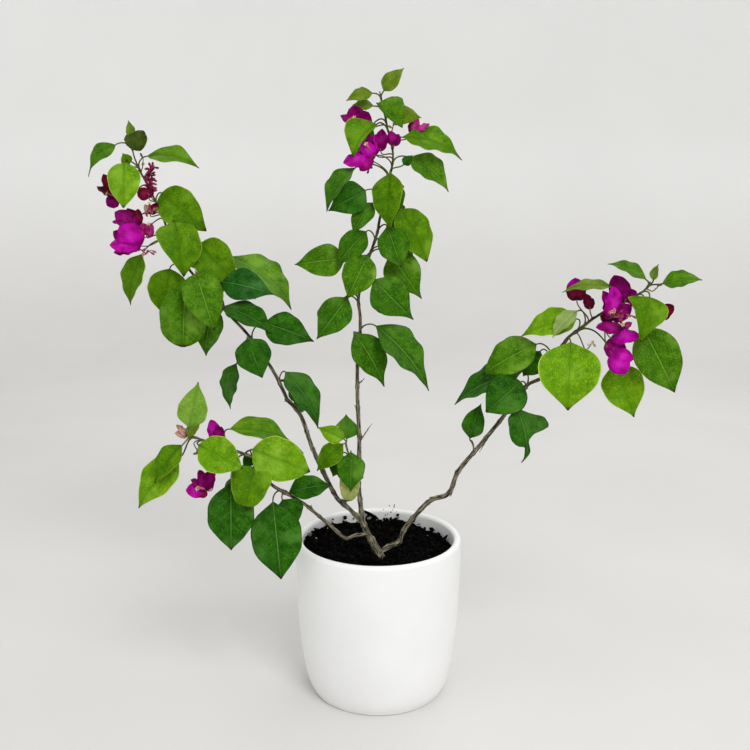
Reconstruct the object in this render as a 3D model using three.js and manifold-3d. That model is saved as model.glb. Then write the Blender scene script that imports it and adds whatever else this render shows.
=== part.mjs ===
// Bougainvillea bush in a round white ceramic pot. Millimetres, +Z up.
// The origin is the centre of the pot's flat underside. The shrub forks low into four canes.
import * as THREE from 'three';
import { mergeVertices } from 'three/addons/utils/BufferGeometryUtils.js';
import Module from 'manifold-3d';

const wasm = await Module();
wasm.setup();

// Pot: a cachepot that narrows in one round sweep from its rim to a flat foot
const POT_HEIGHT = 135.5;
const POT_RADIUS = 70;
const FOOT_RADIUS = 52.9;
const POT_SWEEP = 2.21;
const POT_WALL = 6.2;
const POT_FLOOR = 8;
const FOOT_ROUND = 1.2;
const POT_SEGMENTS = 32;
const WALL_STEPS = 6;
const LIP_STEPS = 5;

// Potting mix and the gap that neighbouring pieces keep
const SOIL_LEVEL = 122;
const SOIL_STEPS = 3;
const GAP = 0.3;

// The plant's own measures
const TRUNK_RADII = [3.6, 2.7];
const FLARE_RADIUS = 5.4;
const BOUGH_SIDES = 6;
const STEM_SIDES = 4;
const LIMB_STEP = 13;
const SPUR_ROOT = 0.9;
const SPUR_TAPER = 3;
const PETIOLE_RADII = [0.75, 0.6];
const PEDICEL_RADII = [0.6, 0.6];
const STALK_SIDES = 3;
const STALK_STEPS = 2;
const STALK_ARCH = 0.4;
const STALK_IN_BLADE = 0.16;
const PETIOLE_LEAD = 6;
const STEM_LAP = 5;
const STALK_STEM_END = 0.97;
const PEDICEL_LEAD = 5;
const PEDICEL_IN_CUP = 0.2;
const SMOOTHING = 0.05;
const BLADE_THICKNESS = 1.0;
const BLADE_KIND = 0.62;
const BLADE_FOLD = 0.22;
const BLADE_ARCH = 0.07;
const BLADE_MOST_TURNED = 2;
const BRACTS = 3;
const CUP_SKIN = 1.1;

// How far a leaf's widest place lies towards its base, how full its sides are, where its rounded
// body ends, and the half width of its drawn-out tip
const BLADE_OUTLINE = { widest: 0.84, fullness: 0.85, body: 0.97, tip: 0.16 };
const BLADE_STATIONS = [0, 0.1, 0.34, 0.64, 0.9, 1];

// A blossom's cup: reach of its rings from the heart inside, over the rim and down outside, which of
// them lie inside, and the reach of the rim at a bract's tip and between two bracts
const CUP_REACH = [0, 0.55, 1, 0.5, 0];
const CUP_INSIDE = [1, 1, 0.5, 0, -1];
const LOBE_REACH = [1, 0.52];

// Leaves behind those that show: where on the stem they start, how far their heading turns from
// straight back, the reach of their stalks, how much they droop, their length and their kind.
// Each pair is the least and the spread of a draw.
const BEHIND = {
  tries: 120,
  share: [0.1, 0.85],
  heading: [-1.3, 2.6],
  rise: [-0.4, 0.5],
  reach: [12, 14],
  droop: [0.5, 0.6],
  length: [30, 18],
  kind: [0.5, 0.15],
};
const BEHIND_SPOTS = [0.05, 0.35, 0.7, 1];
const BEHIND_BARE = 1;

// Places on the plant are given as they stand against the upright plane through the pot's axis,
// seen from this eye, with how far they really lie behind that plane. A cane leans further back
// or forward the further out it reaches.
const EYE = new THREE.Vector3(-2.6, -790, 440.9);
const LEAN = { left: 0.25, centre: 0, right: -0.14, lowLeft: -0.12 };

// Seeded draws: each state is the last one times this step, within this range
const DRAW_STEP = 48271;
const DRAW_RANGE = 2147483647;

// Smallest shared volume that counts as a touch, in cubic millimetres, and corners that are one
const TOUCH = 1e-3;
const WELD = 1e-4;

function place([x, z, depth], lean) {
  const share = 1 - (depth + lean * Math.abs(x)) / EYE.y;
  return new THREE.Vector3(x, 0, z).sub(EYE).multiplyScalar(share).add(EYE);
}

function seenAt(point) {
  const share = EYE.y / (EYE.y - point.y);
  return point.clone().sub(EYE).multiplyScalar(share).add(EYE);
}

// Seeded draws between 0 and 1
function seeded(seed) {
  let state = seed;
  return () => {
    state = (state * DRAW_STEP) % DRAW_RANGE;
    return state / DRAW_RANGE;
  };
}

// Solids and how they become meshes
function solid(geometry) {
  geometry.deleteAttribute('normal');
  geometry.deleteAttribute('uv');
  const merged = mergeVertices(geometry, WELD);
  return new wasm.Manifold(new wasm.Mesh({
    numProp: 3,
    vertProperties: merged.attributes.position.array,
    triVerts: new Uint32Array(merged.index.array),
  }));
}

function largest(shape) {
  return shape.decompose().reduce((best, next) => (next.volume() > best.volume() ? next : best));
}

function touches(a, b) {
  return a.intersect(b).volume() > TOUCH;
}

const plant = new THREE.Group();

function addNode(name, shape, material, anchor = new THREE.Vector3()) {
  const data = shape.getMesh();
  const geometry = new THREE.BufferGeometry();
  geometry.setAttribute('position', new THREE.BufferAttribute(data.vertProperties, 3));
  geometry.setIndex(new THREE.BufferAttribute(data.triVerts, 1));
  geometry.translate(-anchor.x, -anchor.y, -anchor.z);
  geometry.computeVertexNormals();
  const mesh = new THREE.Mesh(geometry, material);
  mesh.name = name;
  mesh.position.copy(anchor);
  plant.add(mesh);
}

// The ring of a ball on which a corner lies, counted from its pole
function ring(corner, rows) {
  return Math.round(Math.acos(THREE.MathUtils.clamp(corner.y, -1, 1)) / Math.PI * rows);
}

// A round tapering limb: a cylinder bent along a smooth curve, optionally grown on all sides
function limbAlong(points, radii, sides, steps, grow = 0) {
  const curve = new THREE.CatmullRomCurve3(points, false, 'centripetal');
  const frames = curve.computeFrenetFrames(steps, false);
  const geometry = new THREE.CylinderGeometry(1, 1, 1, sides, steps);
  const position = geometry.attributes.position;
  const corner = new THREE.Vector3();
  for (let i = 0; i < position.count; i += 1) {
    corner.fromBufferAttribute(position, i);
    const row = Math.round((corner.y + 0.5) * steps);
    const share = row / steps;
    const radius = radii[0] + (radii[1] - radii[0]) * share + grow;
    const centre = curve.getPointAt(share);
    const atEnd = Number(row === steps) - Number(row === 0);
    centre.addScaledVector(frames.tangents[row], grow * atEnd);
    centre.addScaledVector(frames.normals[row], corner.x * radius);
    centre.addScaledVector(frames.binormals[row], -corner.z * radius);
    position.setXYZ(i, centre.x, centre.y, centre.z);
  }
  return solid(geometry);
}

function limb(places, radii, sides, lean) {
  const points = places.map((values) => place(values, lean));
  const curve = new THREE.CatmullRomCurve3(points, false, 'centripetal');
  const steps = Math.max(2, Math.round(curve.getLength() / LIMB_STEP));
  return {
    curve,
    lean,
    anchor: points[0],
    shape: limbAlong(points, radii, sides, steps),
    clearance: limbAlong(points, radii, sides, steps, GAP),
  };
}

// Spurs, stubs and thorns: each a short cone from the limb's heart towards a seen place
function spur(owner, share, x, z, nearer, root = SPUR_ROOT) {
  const from = owner.curve.getPointAt(share);
  const tip = place([x, z, from.y - nearer], 0);
  const middle = from.clone().lerp(tip, 0.5);
  owner.shape = owner.shape.add(limbAlong([from, middle, tip], [root, root / SPUR_TAPER], STEM_SIDES, 2));
}

// Half width of a blade at a share of its length, against a half width of one
function halfWidth(share) {
  const { widest, fullness, body, tip } = BLADE_OUTLINE;
  const along = Math.min(share / body, 1);
  const full = Math.sin(Math.PI * along ** widest) ** fullness;
  return Math.max(full, tip * (1 - share) * Number(share > widest));
}

// How a blade lies: its rib's direction, the way its face looks, and the side between them
function bladeFrame(base, tip, shown) {
  const along = tip.clone().sub(base).normalize();
  const length = base.distanceTo(tip);
  const seen = Math.abs(shown);
  const width = Math.max(seen, Math.min(length * BLADE_KIND, seen * BLADE_MOST_TURNED));
  const turn = Math.acos(Math.min(seen / width, 1));
  const towardsEye = EYE.clone().sub(base);
  const facing = towardsEye.addScaledVector(along, -towardsEye.dot(along)).normalize();
  const turned = [turn, -turn].map((angle) => facing.clone().applyAxisAngle(along, angle));
  const upper = turned[0].z >= turned[1].z ? 0 : 1;
  const normal = turned[shown > 0 ? upper : 1 - upper];
  return { base, along, length, width, normal, side: normal.clone().cross(along) };
}

function onRib({ base, along, length, normal }, share) {
  return base.clone().addScaledVector(along, length * share)
    .addScaledVector(normal, length * BLADE_ARCH * Math.sin(Math.PI * share));
}

// A blade is a flattened ball: a rib from base to tip and two folded edges, thickest on the rib
function blade(frame, grow = 0) {
  const rows = BLADE_STATIONS.length - 1;
  const geometry = new THREE.SphereGeometry(1, 4, rows);
  const position = geometry.attributes.position;
  const corner = new THREE.Vector3();
  for (let i = 0; i < position.count; i += 1) {
    corner.fromBufferAttribute(position, i);
    const row = ring(corner, rows);
    const half = halfWidth(BLADE_STATIONS[row]) * frame.width / 2;
    const belt = Math.max(Math.hypot(corner.x, corner.z), WELD);
    const atEdge = Math.round(corner.x / belt);
    const atFace = Math.round(corner.z / belt);
    const point = onRib(frame, BLADE_STATIONS[row]);
    point.addScaledVector(frame.side, atEdge * (half + grow));
    point.addScaledVector(frame.normal, Math.abs(atEdge) * half * BLADE_FOLD);
    point.addScaledVector(frame.normal, atFace * (BLADE_THICKNESS / 2 + grow));
    position.setXYZ(i, point.x, point.y, point.z);
  }
  return solid(geometry);
}

// A stalk arches out of its stem and runs into the blade's rib
function stalk(stem, base, into, radii, share) {
  const from = stem.curve.getPointAt(share);
  const reach = from.distanceTo(base) * STALK_ARCH;
  const leave = from.clone().addScaledVector(stem.curve.getTangentAt(share), reach);
  const arrive = base.clone().addScaledVector(into.clone().sub(base).normalize(), -reach);
  const bend = new THREE.CubicBezierCurve3(from, leave, arrive, base).getPoints(STALK_STEPS);
  return [0, GAP].map((grow) => limbAlong([...bend, into], radii, STALK_SIDES, STALK_STEPS + 1, grow));
}

// The share of a stem's length at which a stalk leaves it, a little below where it points
function nearestShare(curve, point, lead) {
  const length = curve.getLength();
  let best = 0;
  let least = Infinity;
  for (let run = 0; run <= length; run += 1) {
    const spot = curve.getPointAt(run / length).addScaledVector(curve.getTangentAt(run / length), lead);
    if (spot.distanceTo(point) < least) {
      least = spot.distanceTo(point);
      best = run / length;
    }
  }
  return THREE.MathUtils.clamp(best, STEM_LAP / length, STALK_STEM_END);
}

// A blade with its stalk, what it must keep clear of others, and its stalk's own clearance
function stalkedBlade(stem, frame, share) {
  const into = onRib(frame, STALK_IN_BLADE);
  const [petiole, clearance] = stalk(stem, frame.base, into, PETIOLE_RADII, share);
  return { probe: blade(frame, GAP).add(clearance), parts: [blade(frame), petiole], clearance };
}

// One leaf from what is seen of it: its base, its tip, its shown width, and how deep base and tip lie
function leaf(stem, [x, z, tipX, tipZ, shown, depth, tipDepth]) {
  const base = place([x, z, depth], stem.lean);
  const tip = place([tipX, tipZ, tipDepth], stem.lean);
  return stalkedBlade(stem, bladeFrame(base, tip, shown), nearestShare(stem.curve, base, PETIOLE_LEAD));
}

// A direction from its aim in the upright plane, anticlockwise from the right, and its turn to the eye
function direction(aim, toward) {
  const { degToRad } = THREE.MathUtils;
  const flat = Math.cos(degToRad(toward));
  const up = Math.sin(degToRad(aim)) * flat;
  return new THREE.Vector3(Math.cos(degToRad(aim)) * flat, -Math.sin(degToRad(toward)), up);
}

// Bracts joined into a cup of lobes that opens along its axis
function cup(heart, axis, size, spread, spin) {
  const { degToRad } = THREE.MathUtils;
  const columns = BRACTS * LOBE_REACH.length;
  const rows = CUP_REACH.length - 1;
  const across = new THREE.Vector3(-axis.z, 0, axis.x).normalize();
  const geometry = new THREE.SphereGeometry(1, columns, rows);
  const position = geometry.attributes.position;
  const corner = new THREE.Vector3();
  for (let i = 0; i < position.count; i += 1) {
    corner.fromBufferAttribute(position, i);
    const row = ring(corner, rows);
    const round = Math.atan2(corner.z, corner.x);
    const column = Math.round(round / (2 * Math.PI) * columns) + columns;
    const reach = size * CUP_REACH[row] * LOBE_REACH[column % LOBE_REACH.length];
    const outward = across.clone().applyAxisAngle(axis, degToRad(spin) - round);
    const point = heart.clone().addScaledVector(axis, reach * Math.cos(degToRad(spread)));
    point.addScaledVector(axis, CUP_SKIN * CUP_INSIDE[row]);
    point.addScaledVector(outward, reach * Math.sin(degToRad(spread)));
    position.setXYZ(i, point.x, point.y, point.z);
  }
  return solid(geometry);
}

// One blossom on its thin stalk: its heart, size, aim, turn to the eye, opening and spin in degrees
function blossom(stem, [x, z, depth, size, aim, toward, spread, spin]) {
  const heart = place([x, z, depth], stem.lean);
  const axis = direction(aim, toward);
  const into = heart.clone().addScaledVector(axis, size * PEDICEL_IN_CUP);
  const share = nearestShare(stem.curve, heart, PEDICEL_LEAD);
  const [pedicel, clearance] = stalk(stem, heart, into, PEDICEL_RADII, share);
  const bracts = cup(heart, axis, size, spread, spin);
  return { probe: bracts.add(clearance), parts: [bracts, pedicel], clearance };
}

// Is a seen place inside the outline of one of the leaves in front?
function covered(seen, leaves) {
  return leaves.some(([x, z, tipX, tipZ, shown]) => {
    const rib = new THREE.Vector2(tipX - x, tipZ - z);
    const off = new THREE.Vector2(seen.x - x, seen.z - z);
    const share = off.dot(rib) / rib.lengthSq();
    const across = Math.abs(off.cross(rib)) / rib.length();
    return share > 0 && share < 1 && across < halfWidth(share) * Math.abs(shown) / 2;
  });
}

// A seeded leaf behind the ones that show, or none where it would stand out past them
function backLeaf(stem, leaves, draw) {
  const drawn = ([least, spread]) => least + spread * draw();
  const share = drawn(BEHIND.share);
  const heading = drawn(BEHIND.heading);
  const out = new THREE.Vector3(Math.sin(heading), Math.cos(heading), drawn(BEHIND.rise));
  const base = stem.curve.getPointAt(share).addScaledVector(out, drawn(BEHIND.reach));
  out.z -= drawn(BEHIND.droop);
  const length = drawn(BEHIND.length);
  const tip = base.clone().addScaledVector(out.normalize(), length);
  const bare = BEHIND_SPOTS.filter((at) => !covered(seenAt(base.clone().lerp(tip, at)), leaves));
  if (bare.length > BEHIND_BARE) {
    return null;
  }
  return stalkedBlade(stem, bladeFrame(base, tip, length * drawn(BEHIND.kind)), share);
}

// A mass of foliage: one stem that starts inside its carrier and is cut clear of it, with leaves and
// blossoms. A sprig that would touch anything already in place is left out.
const inPlace = [];

function mass(name, carrier, { stem: places, radii, leaves, blossoms = [], behind = 0, seed = 1 }) {
  const stem = limb(places, radii, STEM_SIDES, carrier.lean);
  const free = (sprig) => !inPlace.some((other) => touches(sprig.probe, other.shape));
  const shown = [...leaves.map((row) => leaf(stem, row)), ...blossoms.map((row) => blossom(stem, row))];
  const grown = shown.filter(free);
  const draw = seeded(seed);
  const wanted = grown.length + behind;
  for (let tries = 0; tries < BEHIND.tries && grown.length < wanted; tries += 1) {
    const sprig = backLeaf(stem, leaves, draw);
    if (sprig && free(sprig)) {
      grown.push(sprig);
    }
  }
  const parts = grown.flatMap((sprig) => sprig.parts);
  const whole = parts.reduce((sum, piece) => sum.add(piece), stem.shape).subtract(carrier.clearance);
  const shape = largest(whole.simplify(SMOOTHING));
  const clearance = grown.reduce((sum, sprig) => sum.add(sprig.clearance), stem.clearance);
  inPlace.push({ shape });
  addNode(name, shape, foliage, stem.anchor);
  return { clearance, lean: stem.lean };
}

// Finishes
const ceramic = new THREE.MeshStandardMaterial({ color: 0xeeeeec, roughness: 0.38, metalness: 0 });
const crumbs = new THREE.MeshStandardMaterial({ color: 0x14110f, roughness: 0.97, metalness: 0 });
const bark = new THREE.MeshStandardMaterial({ color: 0x6f6555, roughness: 0.85, metalness: 0 });
const foliage = new THREE.MeshStandardMaterial({ color: 0x4f8a1c, roughness: 0.5, metalness: 0 });

// Pot
function outerRadius(z) {
  const down = 1 - z / POT_HEIGHT;
  const pulled = 1 - (1 - down ** POT_SWEEP) ** (1 / POT_SWEEP);
  return POT_RADIUS - (POT_RADIUS - FOOT_RADIUS) * pulled;
}

function potProfile() {
  const profile = [new THREE.Vector2(0, 0), new THREE.Vector2(outerRadius(FOOT_ROUND) - FOOT_ROUND, 0)];
  const lip = POT_WALL / 2;
  const shoulder = POT_HEIGHT - lip;
  for (let i = 0; i <= WALL_STEPS; i += 1) {
    const share = 1 - Math.cos(Math.PI / 2 * i / WALL_STEPS);
    const z = FOOT_ROUND + (shoulder - FOOT_ROUND) * share;
    profile.push(new THREE.Vector2(outerRadius(z), z));
  }
  const centre = outerRadius(shoulder) - lip;
  for (let i = 1; i < LIP_STEPS; i += 1) {
    const angle = Math.PI * i / LIP_STEPS;
    profile.push(new THREE.Vector2(centre + lip * Math.cos(angle), shoulder + lip * Math.sin(angle)));
  }
  for (let i = WALL_STEPS; i >= 0; i -= 2) {
    const z = POT_FLOOR + (shoulder - POT_FLOOR) * i / WALL_STEPS;
    profile.push(new THREE.Vector2(innerRadius(z), z));
  }
  profile.push(new THREE.Vector2(0, POT_FLOOR));
  return profile;
}

function innerRadius(z) {
  return outerRadius(z) - POT_WALL;
}

function turned(profile) {
  const geometry = new THREE.LatheGeometry(profile, POT_SEGMENTS);
  geometry.rotateX(Math.PI / 2);
  return solid(geometry);
}

// Potting mix: fills the pot to just below its lip
function mixProfile() {
  const low = POT_FLOOR + GAP;
  const profile = [new THREE.Vector2(0, low)];
  for (let i = 0; i <= SOIL_STEPS; i += 1) {
    const z = low + (SOIL_LEVEL - low) * i / SOIL_STEPS;
    profile.push(new THREE.Vector2(innerRadius(z) - 2 * GAP, z));
  }
  profile.push(new THREE.Vector2(0, SOIL_LEVEL));
  return profile;
}

addNode('pot', turned(potProfile()), ceramic);
addNode('potting_mix', turned(mixProfile()), crumbs);

// Trunk: leaning, flared at its foot and cut flat at the soil
const trunkWay = [[2.4, 112, -13], [-3, 126, -13], [-8.5, 136, -12.5], [-13, 147.5, -12]];
const trunk = limb(trunkWay, TRUNK_RADII, BOUGH_SIDES, LEAN.centre);
const flareWay = [[1.6, 115, -13], [-1, 121, -13], [-3.5, 127, -13]].map((at) => place(at, LEAN.centre));
const flareRadii = [FLARE_RADIUS, TRUNK_RADII[0]];
const [flare, flareClearance] = [0, GAP].map((grow) => (
  limbAlong(flareWay, flareRadii, BOUGH_SIDES, 2, grow)
));
const mixBlock = new THREE.BoxGeometry(POT_RADIUS, POT_RADIUS, SOIL_LEVEL);
mixBlock.translate(0, 0, SOIL_LEVEL / 2 + GAP);
trunk.clearance = trunk.clearance.add(flareClearance);
trunk.shape = trunk.shape.add(flare).subtract(solid(mixBlock));
inPlace.push(trunk);
addNode('trunk', trunk.shape, bark, new THREE.Vector3(flareWay[0].x, flareWay[0].y, SOIL_LEVEL + GAP));

// The four canes, each starting inside what carries it and cut a gap clear of it
function bough(name, lean, places, radii, carriers, spurs) {
  const cane = limb(places, radii, BOUGH_SIDES, lean);
  spurs.forEach((values) => spur(cane, ...values));
  carriers.forEach((carrier) => {
    cane.shape = cane.shape.subtract(carrier.clearance);
  });
  cane.shape = largest(cane.shape);
  inPlace.push(cane);
  addNode(name, cane.shape, bark, cane.anchor);
  return cane;
}

const boughCentre = bough('bough_centre', LEAN.centre,
  [[-12.5, 146.5, -12], [-14.5, 160, -11], [-16.5, 184, -9], [-15.6, 219, -7], [-16.8, 250, -5],
    [-17, 277, -3.5], [-15, 303, -2]],
  [2.3, 1.6], [trunk],
  [[0.24, -12.3, 187, 3, 1.7], [0.45, -5, 233.5, 0], [0.62, -20.2, 249.8, 1], [0.76, -11, 271.5, 1]]);

const boughLeft = bough('bough_left', LEAN.left,
  [[-11.5, 145.5, -12], [-25, 159.5, -12], [-34, 168, -11], [-46, 192, -9], [-55, 213, -7],
    [-64.5, 241, -4], [-76, 255, -2]],
  [2.3, 1.9], [trunk, boughCentre],
  [[0.22, -25.5, 166, 6, 2.2], [0.27, -36.5, 167.5, 0], [0.97, -77.5, 252, 1]]);

const boughLowLeft = bough('bough_low_left', LEAN.lowLeft,
  [[-8, 137, -12.5], [-20, 135, -15], [-27.5, 132.5, -17], [-37, 141, -20], [-52.5, 155, -24],
    [-63, 164, -27], [-75, 171.5, -30]],
  [2, 1.7], [trunk],
  [[0.7, -56.5, 163, 0]]);

const boughRight = bough('bough_right', LEAN.right,
  [[2, 120, -12], [10, 126, -2], [17.5, 129, 3], [22, 140, 4], [33, 155, 3], [45, 167, 1], [58.5, 172, -3],
    [67, 192, -7], [81, 210, -11], [104, 240, -16], [118, 261, -19]],
  [2.6, 1.7], [trunk],
  [[0.42, 42.5, 169, 0, 1.3], [0.55, 61, 170, 1, 1.5], [0.78, 84, 208, 0], [0.88, 103, 235.5, 0]]);

// Left cane's foliage, from the lowest leaves to the tip
const leavesLeftLow = mass('leaves_left_low', boughLeft, {
  stem: [[-75, 254, -2], [-84.5, 275, 1], [-102, 303, 4], [-124, 328, 7]],
  radii: [1.7, 1.4],
  leaves: [
    [-125, 331, -85, 309, 20, 3, 0],
    [-92.5, 317.5, -52.5, 302.5, 28, 8, 6],
    [-106.5, 304.5, -95, 272, 30, -5, -12],
    [-116, 284, -123, 245.5, 15, 2, -2],
    [-75.5, 277, -48.5, 230, 23, 0, -6],
  ],
  behind: 3,
  seed: 11,
});

const leavesLeftMiddle = mass('leaves_left_middle', leavesLeftLow, {
  stem: [[-123, 327, 7], [-135, 342, 10], [-151, 360, 13], [-160, 374, 15]],
  radii: [1.4, 1.2],
  leaves: [
    [-143, 380.5, -114, 349.5, 34, 20, 17],
    [-118, 371, -69, 330, 25, 36, 36],
    [-125.5, 351, -84.5, 341, 27, 10, 13],
    [-167, 361, -173, 324, 33, 7, 2],
    [-146, 357.5, -133, 311.5, 33.5, -3, -14],
    [-155.5, 346.5, -159, 297.5, 40, 0, -10],
    [-133, 331, -141, 290, 25, 12, 7],
  ],
  behind: 3,
  seed: 12,
});

mass('leaves_left_top', leavesLeftMiddle, {
  stem: [[-159, 372.5, 15], [-165, 385, 17], [-170, 400, 20], [-177, 417, 22], [-186, 436, 24],
    [-191, 449, 26], [-193, 461, 27]],
  radii: [1.2, 0.7],
  leaves: [
    [-193, 463, -194, 476.5, 8, 27, 28],
    [-191, 467.5, -186, 454, 19, 30, 14],
    [-205.5, 458, -228.5, 434, 14, 24, 12],
    [-181, 449.5, -140.5, 441.5, 15, 22, 22],
    [-195, 443, -200, 451.5, 10, 17, 16],
    [-199, 444, -201.5, 409.5, 27, 11, 0],
    [-171, 421, -137, 391.5, 33, 24, 22],
    [-161, 398, -156, 355, 36, 9, -2],
    [-188.5, 373, -201, 332, 19, 12, 6],
  ],
  blossoms: [
    [-202, 423, 16, 17, 178, 10, 42, 60],
    [-181, 420, 20, 24, 78, 10, 20, 0],
    [-190, 400, 12, 17, 155, 10, 38, 20],
    [-188, 386, 8, 23, 185, 20, 38, 75],
  ],
  behind: 2,
  seed: 85,
});

// Centre cane's foliage
const leavesCentreLow = mass('leaves_centre_low', boughCentre, {
  stem: [[-15.2, 301.5, -2], [-14.5, 322, -1], [-16, 336, 0], [-13, 353, 0]],
  radii: [1.55, 1.35],
  leaves: [
    [-19.5, 309, 5.5, 264.5, 27, -7, -12],
    [-1.5, 315, 42.5, 261.5, 26, -4, -10],
    [-24.5, 338, -50, 304, 26, -4, -10],
    [-4, 352.5, 28.5, 320, 32, -5, -10],
  ],
  behind: 3,
  seed: 21,
});

const leavesCentreMiddle = mass('leaves_centre_middle', leavesCentreLow, {
  stem: [[-13.2, 351.5, 0], [-12, 358, 0], [-7, 372, 1], [-1, 389, 1], [1, 400, 1], [3, 408, 2]],
  radii: [1.4, 1.2],
  leaves: [
    [-8.5, 372.5, -24.5, 337.5, 27, -6, -13],
    [-26, 370, -67, 364.5, 26, 6, 6],
    [-9.5, 391, -33, 364, 21, -3, -4],
    [9.5, 373, 35, 337, 30, 7, 4],
    [7, 395, 18.5, 362.5, 25, -4, -9],
    [18, 408, 39.5, 367, 27, 4, 2],
    [-4, 413.5, -21, 388.5, 16, 0, -4],
  ],
  behind: 2,
  seed: 22,
});

mass('leaves_centre_top', leavesCentreMiddle, {
  stem: [[2.8, 406.5, 2], [8, 430, 2], [11.5, 449, 3], [7, 471, 4], [2.5, 491, 5], [1, 498, 5]],
  radii: [1.2, 0.7],
  leaves: [
    [4, 498.5, 19.5, 515.5, 13, 6, 6],
    [-4.5, 497, -25, 491.5, 10, 3, 0],
    [-4, 487.5, -23.5, 485, 8, 7, 8],
    [1, 489.5, 18.5, 471, 21, 0, -5],
    [11, 481, 33.5, 478.5, 14, 10, 11],
    [-7.5, 473.5, -22, 448.5, 24.5, -3, -10],
    [19, 464, 66, 447.5, 18.5, 3, 0],
    [23.5, 448.5, 56, 422.5, 19, 4, 0],
    [9.5, 436.5, 9, 392, 24, -5, -12],
    [16, 428, 11.5, 400, 16, 10, 10],
    [-10, 423, -39.5, 407, 26, 2, -4],
  ],
  blossoms: [
    [-13, 473, 2, 14, 88, 10, 42, 0],
    [-12, 449, -2, 14, 190, 25, 55, 30],
    [-3, 452, 0, 14, 90, 20, 40, 80],
    [27, 463, 12, 14, 74, 5, 26, 20],
  ],
  behind: 2,
  seed: 23,
});

// Right cane's foliage
mass('leaf_right_spur', boughRight, {
  stem: [[79.5, 208, -10.5], [79.2, 214, -13], [77.5, 219, -14]],
  radii: [0.9, 0.8],
  leaves: [[76, 220.5, 84.5, 250, 18, -14, -12]],
});

mass('leaf_right_hanging', boughRight, {
  stem: [[110, 246.5, -17], [111, 247, -21], [112, 245, -24]],
  radii: [0.9, 0.8],
  leaves: [[115, 245.5, 127, 202, 24, -26, -30]],
});

const leavesRightLow = mass('leaves_right_low', boughRight, {
  stem: [[117.5, 260, -19], [124, 267, -20], [134, 272, -22], [143, 287, -23], [150, 300, -24]],
  radii: [1.7, 1.4],
  leaves: [
    [128.5, 300, 86, 275.5, 28, -17, -20],
    [117.5, 277.5, 62, 251, 22, -10, -12],
    [117, 268.5, 89, 243, 33, -24, -33],
    [132, 294, 118.5, 273, 22, -10, -8],
  ],
  behind: 3,
  seed: 36,
});

const leavesRightMiddle = mass('leaves_right_middle', leavesRightLow, {
  stem: [[149.5, 298.5, -24], [155, 306, -24.5], [163, 312, -25.5], [175, 322, -27]],
  radii: [1.4, 1.25],
  leaves: [
    [156.5, 301.5, 156.5, 244.5, 47, -32, -46],
    [193.5, 285, 211.5, 238.5, 32, -22, -30],
    [160.5, 321, 116, 307.5, 22, -20, -24],
  ],
  blossoms: [
    [160, 337, -18, 12, 100, 5, 40, 60],
    [172, 328, -26, 11, 105, 10, 14, 0],
  ],
  behind: 2,
  seed: 32,
});

mass('leaves_right_tip', leavesRightMiddle, {
  stem: [[174, 321, -27], [190, 331, -29], [205, 338, -32], [216, 346, -35], [218.5, 351, -36]],
  radii: [1.25, 0.7],
  leaves: [
    [215, 353, 184, 366, 9, -36, -36],
    [228, 349.5, 260, 353, 12.5, -38, -42],
    [220.5, 352, 224, 365, 6, -36, -36],
    [218.5, 338.5, 211.5, 303, 26, -44, -54],
    [214, 314.5, 244, 259.5, 34, -30, -38],
    [187.5, 347, 148, 343.5, 8, -34, -34],
  ],
  blossoms: [
    [192, 329, -34, 23, 96, 15, 24, 90],
    [198, 313, -36, 18, 178, 15, 28, 20],
    [191, 301, -38, 22, 12, 20, 26, 60],
    [197, 300, -46, 24, 278, 15, 30, 75],
    [228, 325, -34, 12, 20, 5, 25, 0],
  ],
  behind: 2,
  seed: 33,
});

// Low left cane's foliage
const leavesLowLeftMiddle = mass('leaves_low_left_middle', boughLowLeft, {
  stem: [[-74, 171, -29.8], [-90, 181, -35], [-97, 192, -38], [-103, 203, -41], [-114, 208, -45]],
  radii: [1.65, 1.3],
  leaves: [
    [-75, 173.5, -38.5, 180, 19, -32, -26],
    [-80.5, 167, -68.5, 144, 25, -35, -37],
    [-88.5, 165, -83, 95, 40, -42, -54],
    [-123.5, 182, -125, 121.5, 36, -50, -57],
    [-104, 196, -112, 160, 30.5, -48, -64],
    [-104.5, 211, -56.5, 191.5, 34, -44, -42],
    [-104, 205, -113, 197, 10, -36, -34],
  ],
  behind: 2,
  seed: 41,
});

mass('leaves_low_left_tip', leavesLowLeftMiddle, {
  stem: [[-113, 207.8, -44.8], [-130, 213, -50], [-145, 219, -55], [-154, 222, -57]],
  radii: [1.3, 0.8],
  leaves: [
    [-163, 215, -188, 182, 17, -60, -66],
    [-166, 203, -203, 160, 25, -54, -58],
    [-156.5, 230, -147.5, 268.5, 22.5, -56, -50],
    [-149.5, 215, -113, 194.5, 28, -62, -68],
    [-122.5, 229, -72, 216.5, 16, -30, -24],
  ],
  blossoms: [
    [-142, 181, -64, 17, 155, 20, 55, 20],
    [-138, 221, -52, 14, 92, 10, 14, 0],
  ],
  behind: 2,
  seed: 42,
});

// Short side shoot low on the centre cane
mass('leaves_side_shoot', boughCentre, {
  stem: [[-16, 185, -9], [-20.5, 197, -16], [-26, 212, -15], [-27, 218, -14]],
  radii: [1.0, 0.8],
  leaves: [
    [-28.5, 220, -50, 230, 15, -14, -16],
    [-26, 220, -26.5, 241, 20, -13, -12],
    [-29, 216, -51.5, 192.5, 18, -17, -22],
    [-22.5, 208.5, -23, 174, 23, -21, -27],
    [-23, 190, -25, 165.5, 15, -21, -20],
    [-30, 207, -38, 187, 16, -12, -14],
  ],
});

export default plant;
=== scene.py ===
"""A bougainvillea bush in a round white ceramic pot.

Lengths are millimetres until a mesh is made, and metres in the scene. The bush grows by the same
rule as its solids: four canes from a short trunk, stems with stalked leaves and blossoms where they
are seen, and seeded leaves behind those.
"""

import math

import bmesh
import bpy
import numpy as np
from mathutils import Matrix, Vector, kdtree, noise


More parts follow.
